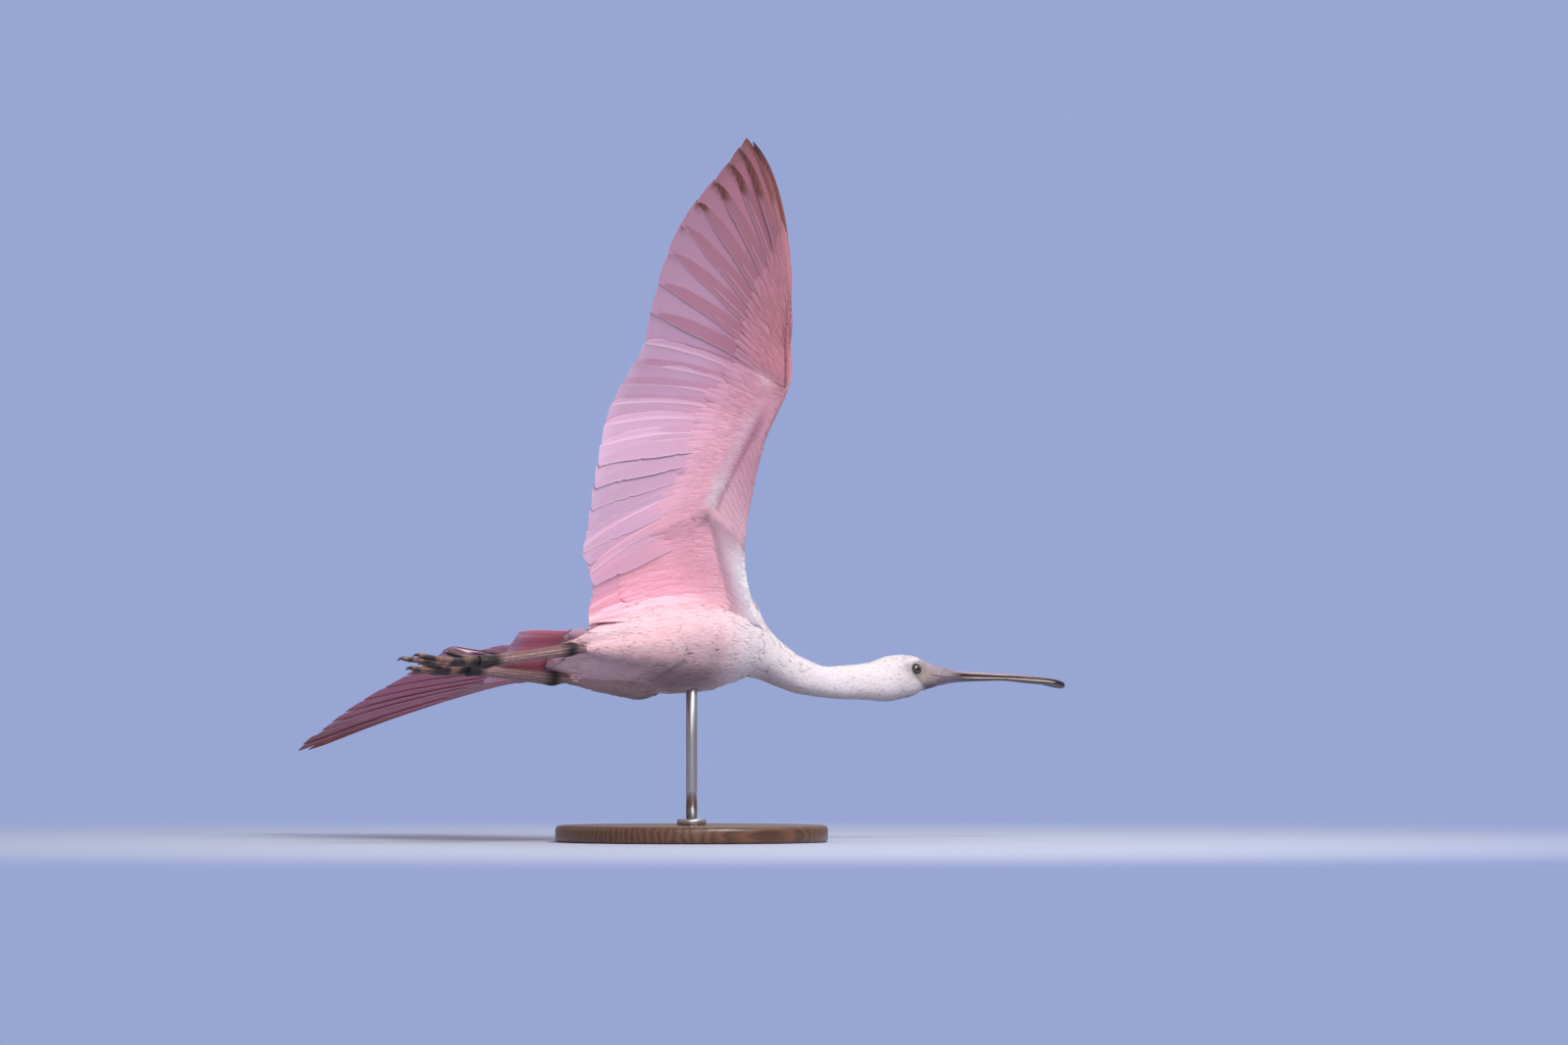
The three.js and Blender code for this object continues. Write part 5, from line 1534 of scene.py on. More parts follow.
def covert_rows(side, upper):
    """Rows of flat overlapping vanes over the arm, the hand and the quills' roots."""
    batches = []
    st = np.array([0, 0.18, 0.42, 0.68, 0.88, 1.0])
    shape = np.array([0.7, 1.0, 1.02, 0.74])
    rows = [1.16, 1.10, 1.04, 0.98] + list(np.arange(0.91, 0.0, -0.055))
    for n_row, r0 in enumerate(rows):
        great = r0 > 0.95
        step = 0.36 if great else 0.33
        w = np.arange(-0.9, 26.9, step) + (0.5 * step if n_row % 2 else 0)
        w = w + rng.normal(0, 0.05, len(w))
        w = w[(w > -0.95) & (w < 26.7)]
        chord = np.linalg.norm(keyed(EDGE, w), axis=1)
        if not great:
            every = np.clip(np.round(62 / np.maximum(chord, 10)), 1, 6).astype(int)
            w = w[(n_row % every) == 0]
            if len(w) == 0:
                continue
            length = 17.0 + 6.0 * r0 + 8.0 * smooth(5, 1, w)
        else:
            tipv = np.linalg.norm(keyed(TIPS, w), axis=1)
            pr = smooth(16, 19.5, w)
            k = {1.16: (0.26, 0.22), 1.10: (0.25, 0.22), 1.04: (0.24, 0.2), 0.98: (0.22, 0.2)}[r0]
            length = tipv * (k[0] * (1 - pr) + k[1] * pr) * (1 + 0.9 * smooth(6, 1, w))
        length = length * rng.uniform(0.86, 1.14, len(w))
        half = np.where(w > 17.5, 3.4, 4.4) * (1.1 if great else 0.8) * np.where(w > 23, 0.75, 1) * rng.uniform(0.85, 1.15, len(w))
        ends = [-0.9, -0.25, 0.0, 0.08, 0.12, 0.05]
        lift = np.array(ends) + (0.12 * (len(rows) - n_row) / len(rows)) + rng.normal(0, 0.05, len(w))[:, None]
        settle = np.array([0, 0, 0, 0.1, 0.5, 0.95]) if great and not upper else 0.0
        sway = np.where(w > 17, 0.1, 0.25) + rng.normal(0, 0.06, len(w))
        batches.append(covert_batch(side, upper, w, np.full(len(w), r0), length, half, lift, st, shape, sway, 0.14, 4, 0.02, settle))
    if not upper:
        # long soft axillary feathers from the wing's root towards the tail
        for r0 in (1.62, 1.52, 1.42, 1.32, 1.22, 1.12):
            w = np.arange(-0.98, 4.6, 0.3) + rng.normal(0, 0.05, 19)
            w = np.clip(w, -0.99, 5.0)
            n = len(w)
            length = rng.uniform(34, 46, n) * (1.9 - r0) / 0.55 * smooth(6.0, 2.0, w)
            length = np.clip(length, 12, 46)
            half = rng.uniform(3.2, 4.6, n)
            lift = np.array([-0.9, -0.1, 0.15, 0.1, -0.1, -0.7]) + rng.normal(0, 0.05, n)[:, None]
            sway = rng.normal(0, 0.06, n)
            batches.append(covert_batch(side, upper, w, np.full(n, r0), length, half, lift, st, shape, sway, 0.14, 4, 0.02))
    return batches


def covert_strands(side, upper):
    """Fine soft strands over the coverts, which blur their edges."""
    n = 9000 if not upper else 6000
    w = rng.uniform(-0.95, 26, n)
    r0 = rng.uniform(0.04, 1.42 if upper else 1.24, n)
    keep = rng.uniform(size=n) < np.where(w < 17, 1, 0.7)
    w, r0 = w[keep], r0[keep]
    length = rng.uniform(8, 16, len(w)) * np.where(r0 > 1, 1.3, 1) * np.where(w < 4, 1.4, 1)
    st = np.array([0, 0.35, 0.7, 1.0])
    lift = np.array([-0.7, 0.3, 0.42, 0.3]) + rng.normal(0, 0.06, len(w))[:, None]
    half = rng.uniform(0.35, 0.75, len(w))
    sway = rng.normal(0.06, 0.12, len(w))
    return [covert_batch(side, upper, w, r0, length, half, lift, st, np.array([1.0, 0.7]), sway, 0.14, 3, 0.035)]


for _side in ("right", "left"):
    coat(f"wing_{_side}_under_coverts", covert_rows(_side, False), MAT_VANE)
    coat(f"wing_{_side}_upper_coverts", covert_rows(_side, True), MAT_VANE)
    coat(f"wing_{_side}_under_strands", covert_strands(_side, False), MAT_DOWN)
    coat(f"wing_{_side}_upper_strands", covert_strands(_side, True), MAT_DOWN)


# ------------------------------------------------------------------ tail
def tail_point(u, f):
    u, f = np.broadcast_arrays(np.asarray(u, float), np.asarray(f, float))
    spread = TAIL["root_half"] + (TAIL["tip_half"] - TAIL["root_half"]) * f
    back = (TAIL["tip_x"] - TAIL["root_x"]) * f * (1 + 0.06 * u * u)
    dome = 5 * (1 - u * u) * (0.4 + 0.6 * f)
    return np.stack(
        [
            TAIL["root_x"] + back,
            u * spread,
            TAIL["root_z"] + (TAIL["tip_z"] - TAIL["root_z"]) * f + dome - 2,
        ],
        -1,
    )


def build_tail():
    batches = []
    s = SALONG
    for k in range(12):
        u = (k + 0.5) / 6 - 1
        side = 1 if u > 0 else -1
        P = tail_point(u * 0.93, -0.25 + 1.25 * s)
        T = unit(np.gradient(P, axis=0))
        out = np.array([0, side, 0.0]) - 0 * T
        L = unit(np.cross(np.cross(T, out), T))  # towards the outer side
        Nn = unit(np.cross(T, L))
        Nn = np.where(Nn[:, 2:3] < 0, -Nn, Nn)
        rise = 0.25 + 0.75 * smooth(0.02, 0.2, s)
        e = np.clip((s - 0.86) / 0.14, 0, 1)
        shape = rise * np.sqrt(np.maximum(1 - e ** 2.2, 0))
        lead, trail = 5.0, 10.0
        outer = abs(u)

        def under(a, x, l2, width, outer=outer):
            c = mix(lin(238, 138, 160), lin(222, 176, 208), smooth(0.74, 1.0, a))
            # darker where the next feather lies over it: painted shade of the two layers
            c = mix(c, lin(208, 108, 128), l2 * 0.5)
            c = mix(c, lin(182, 112, 128), np.exp(-((x / 0.7) ** 2)) * 0.5)
            return mix(c, lin(226, 132, 150), smooth(0.5, 0.0, a) * 0.6)

        def upper(a, x, outer=outer):
            c = mix(lin(186, 108, 128), lin(204, 162, 190), smooth(0.7, 1.0, a))
            return mix(c, lin(150, 78, 90), np.exp(-((x / 0.8) ** 2)) * 0.6)

        batches.append(
            flight_feather(
                to_level(P), to_level(L), to_level(Nn), np.maximum(lead * shape, 0.25), np.maximum(trail * shape, 0.25),
                np.full(SEG, 3.0) + 5 * s, under, upper, (k / 12.0, (k + 1) / 12.0),
                slope=0.04, quill_r=0.8, seed=300 + k,
            )
        )
    ob = coat("tail_feathers", batches, MAT_FLIGHT)
    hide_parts("tail")
    # coverts above and below the tail's root
    out = []
    for upper in (True, False):
        for f0, reach, n, half in (
            (-0.08, 0.34, 15, 6.0), (-0.22, 0.40, 15, 6.5), (-0.4, 0.5, 14, 7.0), (-0.58, 0.56, 14, 7.0), (-0.78, 0.54, 13, 7.0)
        ):
            u = np.linspace(-0.94, 0.94, n) + rng.normal(0, 0.02, n)
            st = np.array([0, 0.2, 0.45, 0.7, 0.88, 1.0])
            F = f0 + reach * st[None] * rng.uniform(0.9, 1.1, n)[:, None]
            U = u[:, None] * (1 + 0 * F)
            P = tail_point(U, F)
            over = (F < 0)
            lift = np.where(upper, 1, -1) * (3.6 - 3.0 * np.clip((F + 0.8) / 1.5, 0, 1) + np.array([-1.5, -0.4, 0.2, 0.4, 0.4, 0.2]) * 1.1)
            # follow the rump in front of the tail's root
            k = keyed(TRUNK, P[..., 0])
            half_h = np.where(upper, k[..., 2], k[..., 3])
            prof = np.sqrt(np.maximum(1 - (P[..., 1] / np.maximum(k[..., 1], 1)) ** 2, 0))
            rump = k[..., 0] + np.where(upper, 1, -1) * (half_h * prof - 0.8)
            blend = smooth(0.12, -0.25, F)
            P[..., 2] = (P[..., 2] + lift) * (1 - blend) + (rump + np.array([-2.2, -0.8, 0, 0.2, 0.2, 0.2]) * (1 if upper else -1)) * blend
            Nn = np.zeros_like(P)
            Nn[..., 2] = 1 if upper else -1
            Nn[..., 1] = 0.35 * u[:, None]
            width = half * rng.uniform(0.9, 1.1, n)[:, None] * np.array([0.6, 0.95, 1.0, 0.72])
            thick = np.full_like(width, 0.4)
            base = lin(222, 150, 164) if upper else lin(214, 160, 176)
            tipc = lin(232, 186, 204) if upper else lin(214, 176, 200)
            t = st[None, :, None]
            col = (base * (1 - t) + tipc * t) * (1 + rng.normal(0, 0.04, n))[:, None, None]
            if not upper:  # greyer towards the vent, partly the feathers' own grey and partly painted shade between the legs
                col = mix(col, lin(190, 160, 168), smooth(0.45, -0.1, F) * 0.8)
            pl = to_level(P)
            cc, aa, bb, _ = locate(pl[:, 0])
            out.append(lens(pl, to_level(unit(Nn)), width, thick, col, atlas(cc, aa, bb), sides=4))
    coat("tail_coverts", out, MAT_VANE)


build_tail()


# ------------------------------------------------------------------ eyes
def sphere(centre, axis, radius, rings=40, segs=64):
    """Points of a sphere whose pole looks along axis, with the polar angle of each."""
    a = unit(np.asarray(axis, float))
    h = unit(np.cross(a, [0, 0, 1.0]))
    v = np.cross(h, a)
    ph = np.linspace(0, math.pi, rings)
    th = np.linspace(0, 2 * math.pi, segs, endpoint=False)
    A, B = np.meshgrid(ph, th, indexing="ij")
    r = np.full_like(A, radius)
    r = r + 0.38 * np.exp(-((A / 0.62) ** 2))  # the cornea's swell
    p = centre + (
        np.cos(A)[..., None] * a + np.sin(A)[..., None] * (np.cos(B)[..., None] * h + np.sin(B)[..., None] * v)
    ) * r[..., None]
    return p, A, B


def build_eyes():
    m, nt, bsdf = new_material("eye_wet")
    tc = N(nt, "ShaderNodeTexCoord")
    col, noise = tint_chain(nt, tc.outputs["Object"], 900.0, 0.12, detail=4.0)
    nt.links.new(col, bsdf.inputs["Base Color"])
    bsdf.inputs["Roughness"].default_value = 0.06
    bsdf.inputs["Specular IOR Level"].default_value = 0.7
    bsdf.inputs["Coat Weight"].default_value = 0.6
    bsdf.inputs["Coat Roughness"].default_value = 0.03
    for s, side in ((-1, "right"), (1, "left")):
        e = head_at(EYE_X, s * EYE_OUT, EYE_Z)
        axis = unit(head_at(EYE_X, s * 20.0, EYE_Z) - head_at(EYE_X, 0.0, EYE_Z))
        p, A, B = sphere(e, axis, EYE_RADIUS)
        pupil = smooth(0.37, 0.33, A)
        iris = smooth(0.80, 0.76, A)
        fib = 0.5 + 0.5 * np.sin(B * 34 + 3 * np.sin(B * 7))
        c = mix(lin(30, 22, 22), mix(lin(82, 64, 60), lin(56, 42, 40), fib), iris)
        c = mix(c, lin(36, 24, 20), smooth(0.66, 0.78, A) * iris)
        c = mix(c, lin(7, 6, 7), pupil)
        co, q, t = closed_loft(p[1:-1])
        col_ = np.concatenate([c[1:-1].reshape(-1, 3), c[0, :1], c[-1, :1]])
        uv = np.stack([0.5 + 0.45 * (A / math.pi) * np.cos(B), 0.5 + 0.45 * (A / math.pi) * np.sin(B)], -1)[1:-1].reshape(-1, 2)
        uv = np.concatenate([uv, [[0.5, 0.5], [0.96, 0.5]]])
        ob = add_mesh("eye_ball_" + side, co, q, t, color=col_, uv=uv)
        ob.data.materials.append(m)
        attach(ob, "root")
        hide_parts("eye_" + side)


build_eyes()


# ------------------------------------------------------------------ bill
def bill_point(t, u, z):
    k = keyed(NECK, BILL_START)
    y0, turn = k[0], math.radians(k[4])
    d = t * BILL_LENGTH
    return np.stack(
        [
            BILL_START + math.cos(turn) * d - math.sin(turn) * u,
            y0 + math.sin(turn) * d + math.cos(turn) * u,
            z + 0 * d,
        ],
        -1,
    )


def build_bill():
    mat = skin_material("bill_horn", rough=0.38, scale=180.0, amount=0.10, bump=0.25, spec=0.45, dist=0.0003)
    t = np.concatenate([[-0.03], np.linspace(0, 0.9, 120), np.linspace(0.905, 0.985, 26), [0.989, 0.992, 0.995, 0.9975, 0.9992]])
    for upper in (True, False):
        n = 48
        a = np.linspace(0, 2 * math.pi, n, endpoint=False)
        T, Aa = np.meshgrid(t, a, indexing="ij")
        k = keyed(BILL, np.clip(T, 0, 1))
        w, zt, zm, zb = [k[..., i] for i in range(4)]
        end = np.clip((1 - T) / 0.011, 0, 1) ** 0.5
        w = w * np.maximum(end, 0.12)
        c, s = np.cos(Aa), np.sin(Aa)
        # half of a flat oval: the far half is the meeting face
        u = w * np.sign(c) * np.abs(c) ** 0.8
        outer = zt if upper else zb
        seam = zm + (0.12 if upper else -0.12)
        full = np.maximum(np.abs(s), 0) ** 0.85
        blunt = np.where(T > 0.55, 0.75, 1.0)
        bow = np.sqrt(np.maximum(1 - (u / np.maximum(w, 1e-3)) ** 2 * 0.97, 0)) ** blunt
        rim = 0.55 + 0.25 * smooth(0.5, 0.8, T)
        side_up = s > 0
        z_out = seam + (rim if upper else -rim) + (outer - seam - (rim if upper else -rim)) * bow
        z_in = seam + (0.0) * s
        edge_mix = np.clip(np.abs(s) * 3.2, 0, 1)
        z = np.where(side_up == upper, seam + (z_out - seam) * edge_mix, z_in)
        # relief: a culmen ridge, grooves beside it, the nostril, fine ridges near the base and the nail at the tip
        rel = np.zeros_like(z)
        if upper:
            on = side_up
            x_ = u / np.maximum(w, 1e-3)
            groove = np.exp(-(((np.abs(x_) - 0.62) / 0.09) ** 2)) * smooth(0.02, 0.08, T) * smooth(0.96, 0.8, T)
            rel -= groove * 0.45 * on
            nost = np.exp(-(((T - 0.075) / 0.028) ** 2) - ((np.abs(x_) - 0.60) / 0.11) ** 2)
            rel -= nost * 1.2 * on
            rel += np.exp(-((x_ / 0.22) ** 2)) * 0.35 * smooth(0.0, 0.2, T) * smooth(0.9, 0.6, T) * on
            rel += 0.12 * np.sin(T * 260) * smooth(0.0, 0.06, T) * smooth(0.3, 0.1, T) * on
            nail = smooth(0.955, 0.985, T) * np.exp(-((x_ / 0.5) ** 2))
            rel += 1.1 * nail * on
        else:
            x_ = u / np.maximum(w, 1e-3)
            rel += np.exp(-((x_ / 0.35) ** 2)) * 0.5 * smooth(0.35, 0.1, T) * (~side_up)
            rel = rel * -1
        z = z + rel
        p = bill_point(T, u, z)
        co, q, tr = closed_loft(p)
        # colours: grey at the face, pinkish horn above, dark line along the cutting edge, cream below it
        Tn = np.concatenate([T.ravel(), [0, 1]])
        Un = np.concatenate([(u / np.maximum(w, 1e-3)).ravel(), [0, 0]])
        On = np.concatenate([(side_up == upper).astype(float).ravel(), [1, 1]])
        au = np.abs(Un)
        if upper:
            c = mix(lin(150, 136, 144), lin(196, 150, 146), smooth(0.12, 0.4, Tn))
            c = mix(c, lin(150, 116, 110), smooth(0.6, 0.95, Tn))
            c = mix(c, lin(110, 88, 88), np.exp(-(((au - 0.62) / 0.12) ** 2)) * 0.55 * smooth(0.02, 0.1, Tn))
            c = mix(c, lin(212, 152, 142), smooth(0.5, 0.7, au) * smooth(0.1, 0.35, Tn) * smooth(0.95, 0.8, Tn) * 0.6)
            c = mix(c, lin(38, 22, 24), smooth(0.68, 0.82, au) * smooth(0.05, 0.2, Tn))
            c = mix(c, lin(60, 44, 46), np.exp(-(((Tn - 0.075) / 0.022) ** 2) - ((au - 0.60) / 0.09) ** 2) * 0.9)
            c = mix(c, lin(70, 58, 64), smooth(0.84, 0.92, Tn) * smooth(0.97, 0.95, Tn) * 0.6)
            c = mix(c, lin(118, 66, 58), smooth(0.955, 0.98, Tn) * 0.9)
        else:
            c = mix(lin(112, 100, 112), lin(74, 62, 68), smooth(0.0, 0.3, Tn))
            c = mix(c, lin(34, 24, 27), smooth(0.2, 0.5, Tn) * 0.85)
            c = mix(c, lin(230, 210, 190), smooth(0.965, 0.988, au) * smooth(0.12, 0.32, Tn) * smooth(0.90, 0.86, Tn) * 0.95)
            c = mix(c, lin(34, 22, 23), smooth(0.84, 0.92, Tn) * 0.9)
            c = mix(c, lin(112, 58, 50), smooth(0.965, 0.982, Tn) * 0.9)
        c = mix(c, lin(70, 46, 44), (1 - On) * 0.8)
        blot = ripple(co, 9, 31) * 0.08 + ripple(co * np.array([0.4, 1, 1]), 3, 32) * 0.06
        c = c * (1 + blot[:, None])
        uvx = np.concatenate([(Aa / (2 * math.pi)).ravel(), [0.5, 0.5]])
        uv = np.stack([0.02 + 0.96 * np.clip(Tn, 0, 1), 0.02 + 0.96 * uvx], -1)
        lu = uv[q].copy()
        wr = lu[..., 1].max(1) - lu[..., 1].min(1) > 0.5
        f = lu[wr]
        f[..., 1] = np.where(f[..., 1] < 0.3, f[..., 1] + 0.96, f[..., 1])
        lu[wr] = np.clip(f, 0, 1)
        ob = add_mesh("bill_horn_" + ("upper" if upper else "lower"), co, q, tr, color=c,
                      loop_uv=np.concatenate([lu.reshape(-1, 2), uv[tr].reshape(-1, 2)]))
        ob.data.materials.append(mat)
        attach(ob, "root")
        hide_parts("bill_upper" if upper else "bill_lower")


build_bill()


# ------------------------------------------------------------------ legs and feet
def tube_points(path, radii, n, flat=1.0, relief=None):
    """Rings round a path of points (k, 3); radii (k,). relief(s, a) gives outward mm."""
    T = unit(np.gradient(path, axis=0))
    sd = unit(np.array([0, 1, 0]) - T * T[:, 1:2])
    up = np.cross(T, sd)
    a = np.linspace(0, 2 * math.pi, n, endpoint=False)
    dist = np.concatenate([[0], np.cumsum(np.linalg.norm(np.diff(path, axis=0), axis=1))])
    D, A = np.meshgrid(dist, a, indexing="ij")
    R = np.repeat(radii[:, None], n, 1)
    if relief is not None:
        R = R + relief(D, A, R)
    return (
        path[:, None]
        + sd[:, None] * (R * np.cos(A))[..., None]
        + up[:, None] * (R * flat * np.sin(A))[..., None]
    ), D, A


def hexes(x, y, size):
    """Distance to the border of the nearest of a net of six-sided scales, 0 at the border."""
    h = size * math.sqrt(3) / 2
    best = np.full(x.shape, 1e9)
    second = np.full(x.shape, 1e9)
    for dx in (-1, 0, 1):
        for dy in (-1, 0, 1):
            row = np.round(y / h) + dy
            shift = np.where(np.mod(row, 2) == 0, 0, 0.5)
            colm = np.round(x / size - shift) + dx
            d = np.hypot(x - (colm + shift) * size, y - row * h)
            nb = np.minimum(best, d)
            second = np.where(d < best, best, np.minimum(second, d))
            best = nb
    return np.clip((second - best) / size, 0, 1)


def spline(points, n):
    points = np.asarray(points, float)
    d = np.concatenate([[0], np.cumsum(np.linalg.norm(np.diff(points, axis=0), axis=1))])
    rows = np.concatenate([d[:, None], points], 1)
    return keyed(rows, np.linspace(0, d[-1], n))


def build_leg(side):
    leg = LEG[side]
    heel, foot, toes = (np.array(leg[k], float) for k in ("heel", "foot", "toes"))
    sgn = leg["sign"]
    mat = LEG_MAT
    parts, cols, uvs = [], [], []

    def put(rings, color, rect):
        q = rings.copy()
        q[..., 1] *= sgn
        co, f4, f3 = closed_loft(to_level(q))
        m, n, _ = rings.shape
        i, j = np.meshgrid(np.linspace(0, 1, m), np.arange(n) / n, indexing="ij")
        uv = np.stack([rect[0] + (rect[2] - rect[0]) * i, rect[1] + (rect[3] - rect[1]) * j], -1).reshape(-1, 2)
        uv = np.concatenate([uv, [[rect[0], rect[1]], [rect[2], rect[3]]]])
        lu = uv[f4].copy()
        tall = (rect[3] - rect[1])
        wr = lu[..., 1].max(1) - lu[..., 1].min(1) > tall * 0.5
        f = lu[wr]
        f[..., 1] = np.where(f[..., 1] < rect[1] + tall * 0.3, f[..., 1] + tall * 0.98, f[..., 1])
        lu[wr] = f
        parts.append((co, f4, f3))
        cols.append(np.concatenate([color.reshape(-1, 3), color[0].mean(0)[None], color[-1].mean(0)[None]]))
        uvs.append((lu.reshape(-1, 2), uv[f3].reshape(-1, 2)))

    # the bare shank, from just above the heel to the toes' joint
    hip = HIP
    path = spline(
        [hip + (heel - hip) * 0.80, hip + (heel - hip) * 0.9, heel + (hip - heel) * 0.03, heel,
         heel + (foot - heel) * 0.1, heel + (foot - heel) * 0.5, heel + (foot - heel) * 0.9, foot,
         foot + (toes - foot) * 0.06], 150)
    s = np.linspace(0, 1, 150)
    L = np.linalg.norm(np.diff(path, axis=0), axis=1).sum()
    dist = s * L
    heel_at = L * 0.197
    rad = keyed([[0, 4.2], [heel_at - 12, 5.8], [heel_at - 4, 7.7], [heel_at, 8.3], [heel_at + 6, 8.3], [heel_at + 16, 7.6],
                 [heel_at + 50, 6.9], [heel_at + 90, 6.8], [heel_at + 108, 7.1], [heel_at + 119, 8.3], [heel_at + 127, 7.4]], dist)[:, 0]

    def relief(D, A, R):
        net = hexes(D, A * 5.4, math.pi * 2 * 5.4 / 11)
        r = 0.34 * (smooth(0.0, 0.22, net) - 1)
        joint = np.exp(-(((D - heel_at) / 7.0) ** 2))
        r = r + joint * 0.22 * np.sin(D * 2.4) + 0.5 * joint * np.cos(A * 2)
        return r

    rings, D, A = tube_points(path, rad, 64, 0.88, relief)
    net = hexes(D, A * 5.4, math.pi * 2 * 5.4 / 11)
    c = mix(lin(40, 26, 28), lin(182, 146, 144), smooth(0.08, 0.42, net))
    below = smooth(0.1, -0.7, np.sin(A))
    c = mix(c, lin(120, 74, 60), below * 0.6)
    c = mix(c, lin(60, 38, 34), np.exp(-((np.sin(A) / 0.16) ** 2)) * (np.cos(A) > 0) * 0.55)
    joint = np.exp(-(((D - heel_at - 3) / 12.0) ** 2)) * 0.85 + smooth(heel_at + 92, heel_at + 112, D)
    c = mix(c, mix(lin(12, 10, 12), lin(66, 54, 58), smooth(0.25, 0.8, net)), np.clip(joint * 1.2, 0, 1) * 0.97)
    c = c * (1 + 0.12 * ripple(rings, 9, 41)[..., None])
    put(rings, c, (0.02, 0.02, 0.98, 0.22))

    along = unit(toes - foot)
    out = np.array([0, 1.0, 0])
    up = np.array([0, 0, 1.0])
    length = np.linalg.norm(toes - foot)
    claws = []
    # [fan, rise, share of the middle toe, radius]
    spread = 0.06
    TOES = [(0, 0, 1.0, 4.5), (spread, 0.01, 0.84, 4.1), (-spread, 0.04, 0.82, 4.1)]

    def toe(start, direction, L_, radius, rect, joints, droop=3.0, hind=False):
        n = 84
        t = np.linspace(0, 1, n)
        pth = start + direction * (L_ * t)[:, None] + up * (-droop * np.sin(math.pi * t))[:, None]
        rr = radius * (1.0 - 0.36 * t)
        pads = np.zeros(n)
        for jn in joints:
            pads += np.exp(-(((t - jn) / 0.055) ** 2)) * 0.55
        rr = rr + pads * 0.5
        rr = rr * np.clip(np.sqrt(np.clip((1.03 - t) / 0.05, 0, 1)), 0.25, 1) * np.clip(0.75 + t * 6, 0, 1)
        scute = 2.6

        def rel(D, A, R):
            top = smooth(0.1, 0.7, np.sin(A))
            g = np.abs(np.mod(D / scute, 1) - 0.5) * 2
            r = -0.26 * smooth(0.75, 1.0, g) * top
            net = hexes(D, A * R, 2.0)
            return r - 0.16 * (1 - smooth(0.0, 0.25, net)) * (1 - top)

        rg, D, A = tube_points(pth, rr, 30, 0.86, rel)
        g = np.abs(np.mod(D / scute, 1) - 0.5) * 2
        top = smooth(-0.1, 0.6, np.sin(A))
        tan = mix(lin(176, 132, 112), lin(44, 30, 30), smooth(0.55, 0.95, g))
        sole = mix(lin(14, 11, 14), lin(66, 52, 56), 0.5 + 0.5 * ripple(rg, 6, 43))
        cc = mix(sole, tan, np.clip(0.0 + 0.6 * smooth(-0.35, 0.4, ripple(rg, 38, 44) + 0.25 * np.sin(A * 2 + 1)), 0, 1))
        cc = mix(cc, lin(12, 10, 12), smooth(0.34, 0.08, t)[:, None] * 0.95)
        put(rg, cc, rect)
        # claw: a curved horn from the toe's end
        ct = np.linspace(0, 1, 26)
        cl = 10.5 if not hind else 8.5
        cp_ = pth[-1] - direction * 1.6 + direction * (cl * ct)[:, None] + up * (-3.6 * ct ** 2 + 0.6 * np.sin(math.pi * ct))[:, None]
        cr = (radius * 0.46) * (1 - ct) ** 0.75 + 0.12
        crg, _, _ = tube_points(cp_, cr, 18, 1.15)
        claws.append(crg)

    for n_t, (fan, rise, share, radius) in enumerate(TOES):
        direction = unit(along + out * fan + up * rise)
        start = foot + along * 5 + out * fan * 22
        toe(start, direction, length * share - 5, radius, (0.02, 0.26 + 0.16 * n_t, 0.98, 0.40 + 0.16 * n_t),
            (0.3, 0.58, 0.82) if n_t == 0 else (0.36, 0.7))
    hs = foot + along * 4 + np.array([0, -2, 3.0])
    hd = unit(along * 0.96 + up * 0.28)
    toe(hs, hd, 36.5, 4.4, (0.02, 0.76, 0.98, 0.86), (0.45,), droop=0.4, hind=True)

    # web between the toes' bases: a thin curved sheet with a rounded rim
    web_parts = []
    for fan in (spread, -spread):
        n = 22
        d0 = unit(along)
        d1 = unit(along + out * fan + up * 0.06)
        s0, s1 = foot + along * 5, foot + along * 5 + out * fan * 22
        tt = np.linspace(0, 1, n)
        depth = 27 - 15 * np.sin(math.pi * tt) ** 0.8
        ring_rows = []
        for a_ in np.linspace(0, 1, 12):
            base_p = s0 * (1 - tt)[:, None] + s1 * tt[:, None]
            dirv = unit(d0 * (1 - tt)[:, None] + d1 * tt[:, None])
            pt = base_p + dirv * (depth * a_)[:, None]
            pt = pt + up * (-1.0 * a_ - 0.6 * np.sin(math.pi * tt))[:, None]
            ring_rows.append(pt)
        g = np.array(ring_rows)
        top, bot = g + up * 0.7, g - up * 0.7
        rings_ = np.concatenate([top, bot[:, ::-1]], 1)
        web_parts.append(rings_)
        put(rings_, np.broadcast_to(lin(36, 28, 32), rings_.shape) * (1 + 0.15 * ripple(rings_, 5, 45)[..., None]), (0.02, 0.88 + (0.05 if fan > 0 else 0), 0.98, 0.92 + (0.05 if fan > 0 else 0)))

    co, f4, f3, k = [], [], [], 0
    for c_, a_, b_ in parts:
        co.append(c_)
        f4.append(a_ + k)
        f3.append(b_ + k)
        k += len(c_)
    loop_uv = np.concatenate([u[0] for u in uvs] + [u[1] for u in uvs])
    ob = add_mesh("leg_skin_" + side, np.concatenate(co), np.concatenate(f4), np.concatenate(f3),
                  color=np.concatenate(cols), loop_uv=loop_uv)
    ob.data.materials.append(mat)
    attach(ob, "root")
    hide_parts(f"leg_{side}_shank", f"leg_{side}_foot")
    co, f4, f3, k = [], [], [], 0
    for r_ in claws:
        q = r_.copy()
        q[..., 1] *= sgn
        c_, a_, b_ = closed_loft(to_level(q))
        co.append(c_)
        f4.append(a_ + k)
        f3.append(b_ + k)
        k += len(c_)
    co = np.concatenate(co)
    ob = add_mesh("claws_" + side, co, np.concatenate(f4), np.concatenate(f3),
                  color=np.broadcast_to(lin(38, 30, 30), co.shape) * (1 + 0.2 * ripple(co, 3, 46)[:, None]),
                  uv=np.stack([np.linspace(0.02, 0.98, len(co)), 0.5 + 0.4 * np.sin(np.arange(len(co)) * 0.35)], -1))
    ob.data.materials.append(CLAW_MAT)
    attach(ob, "root")


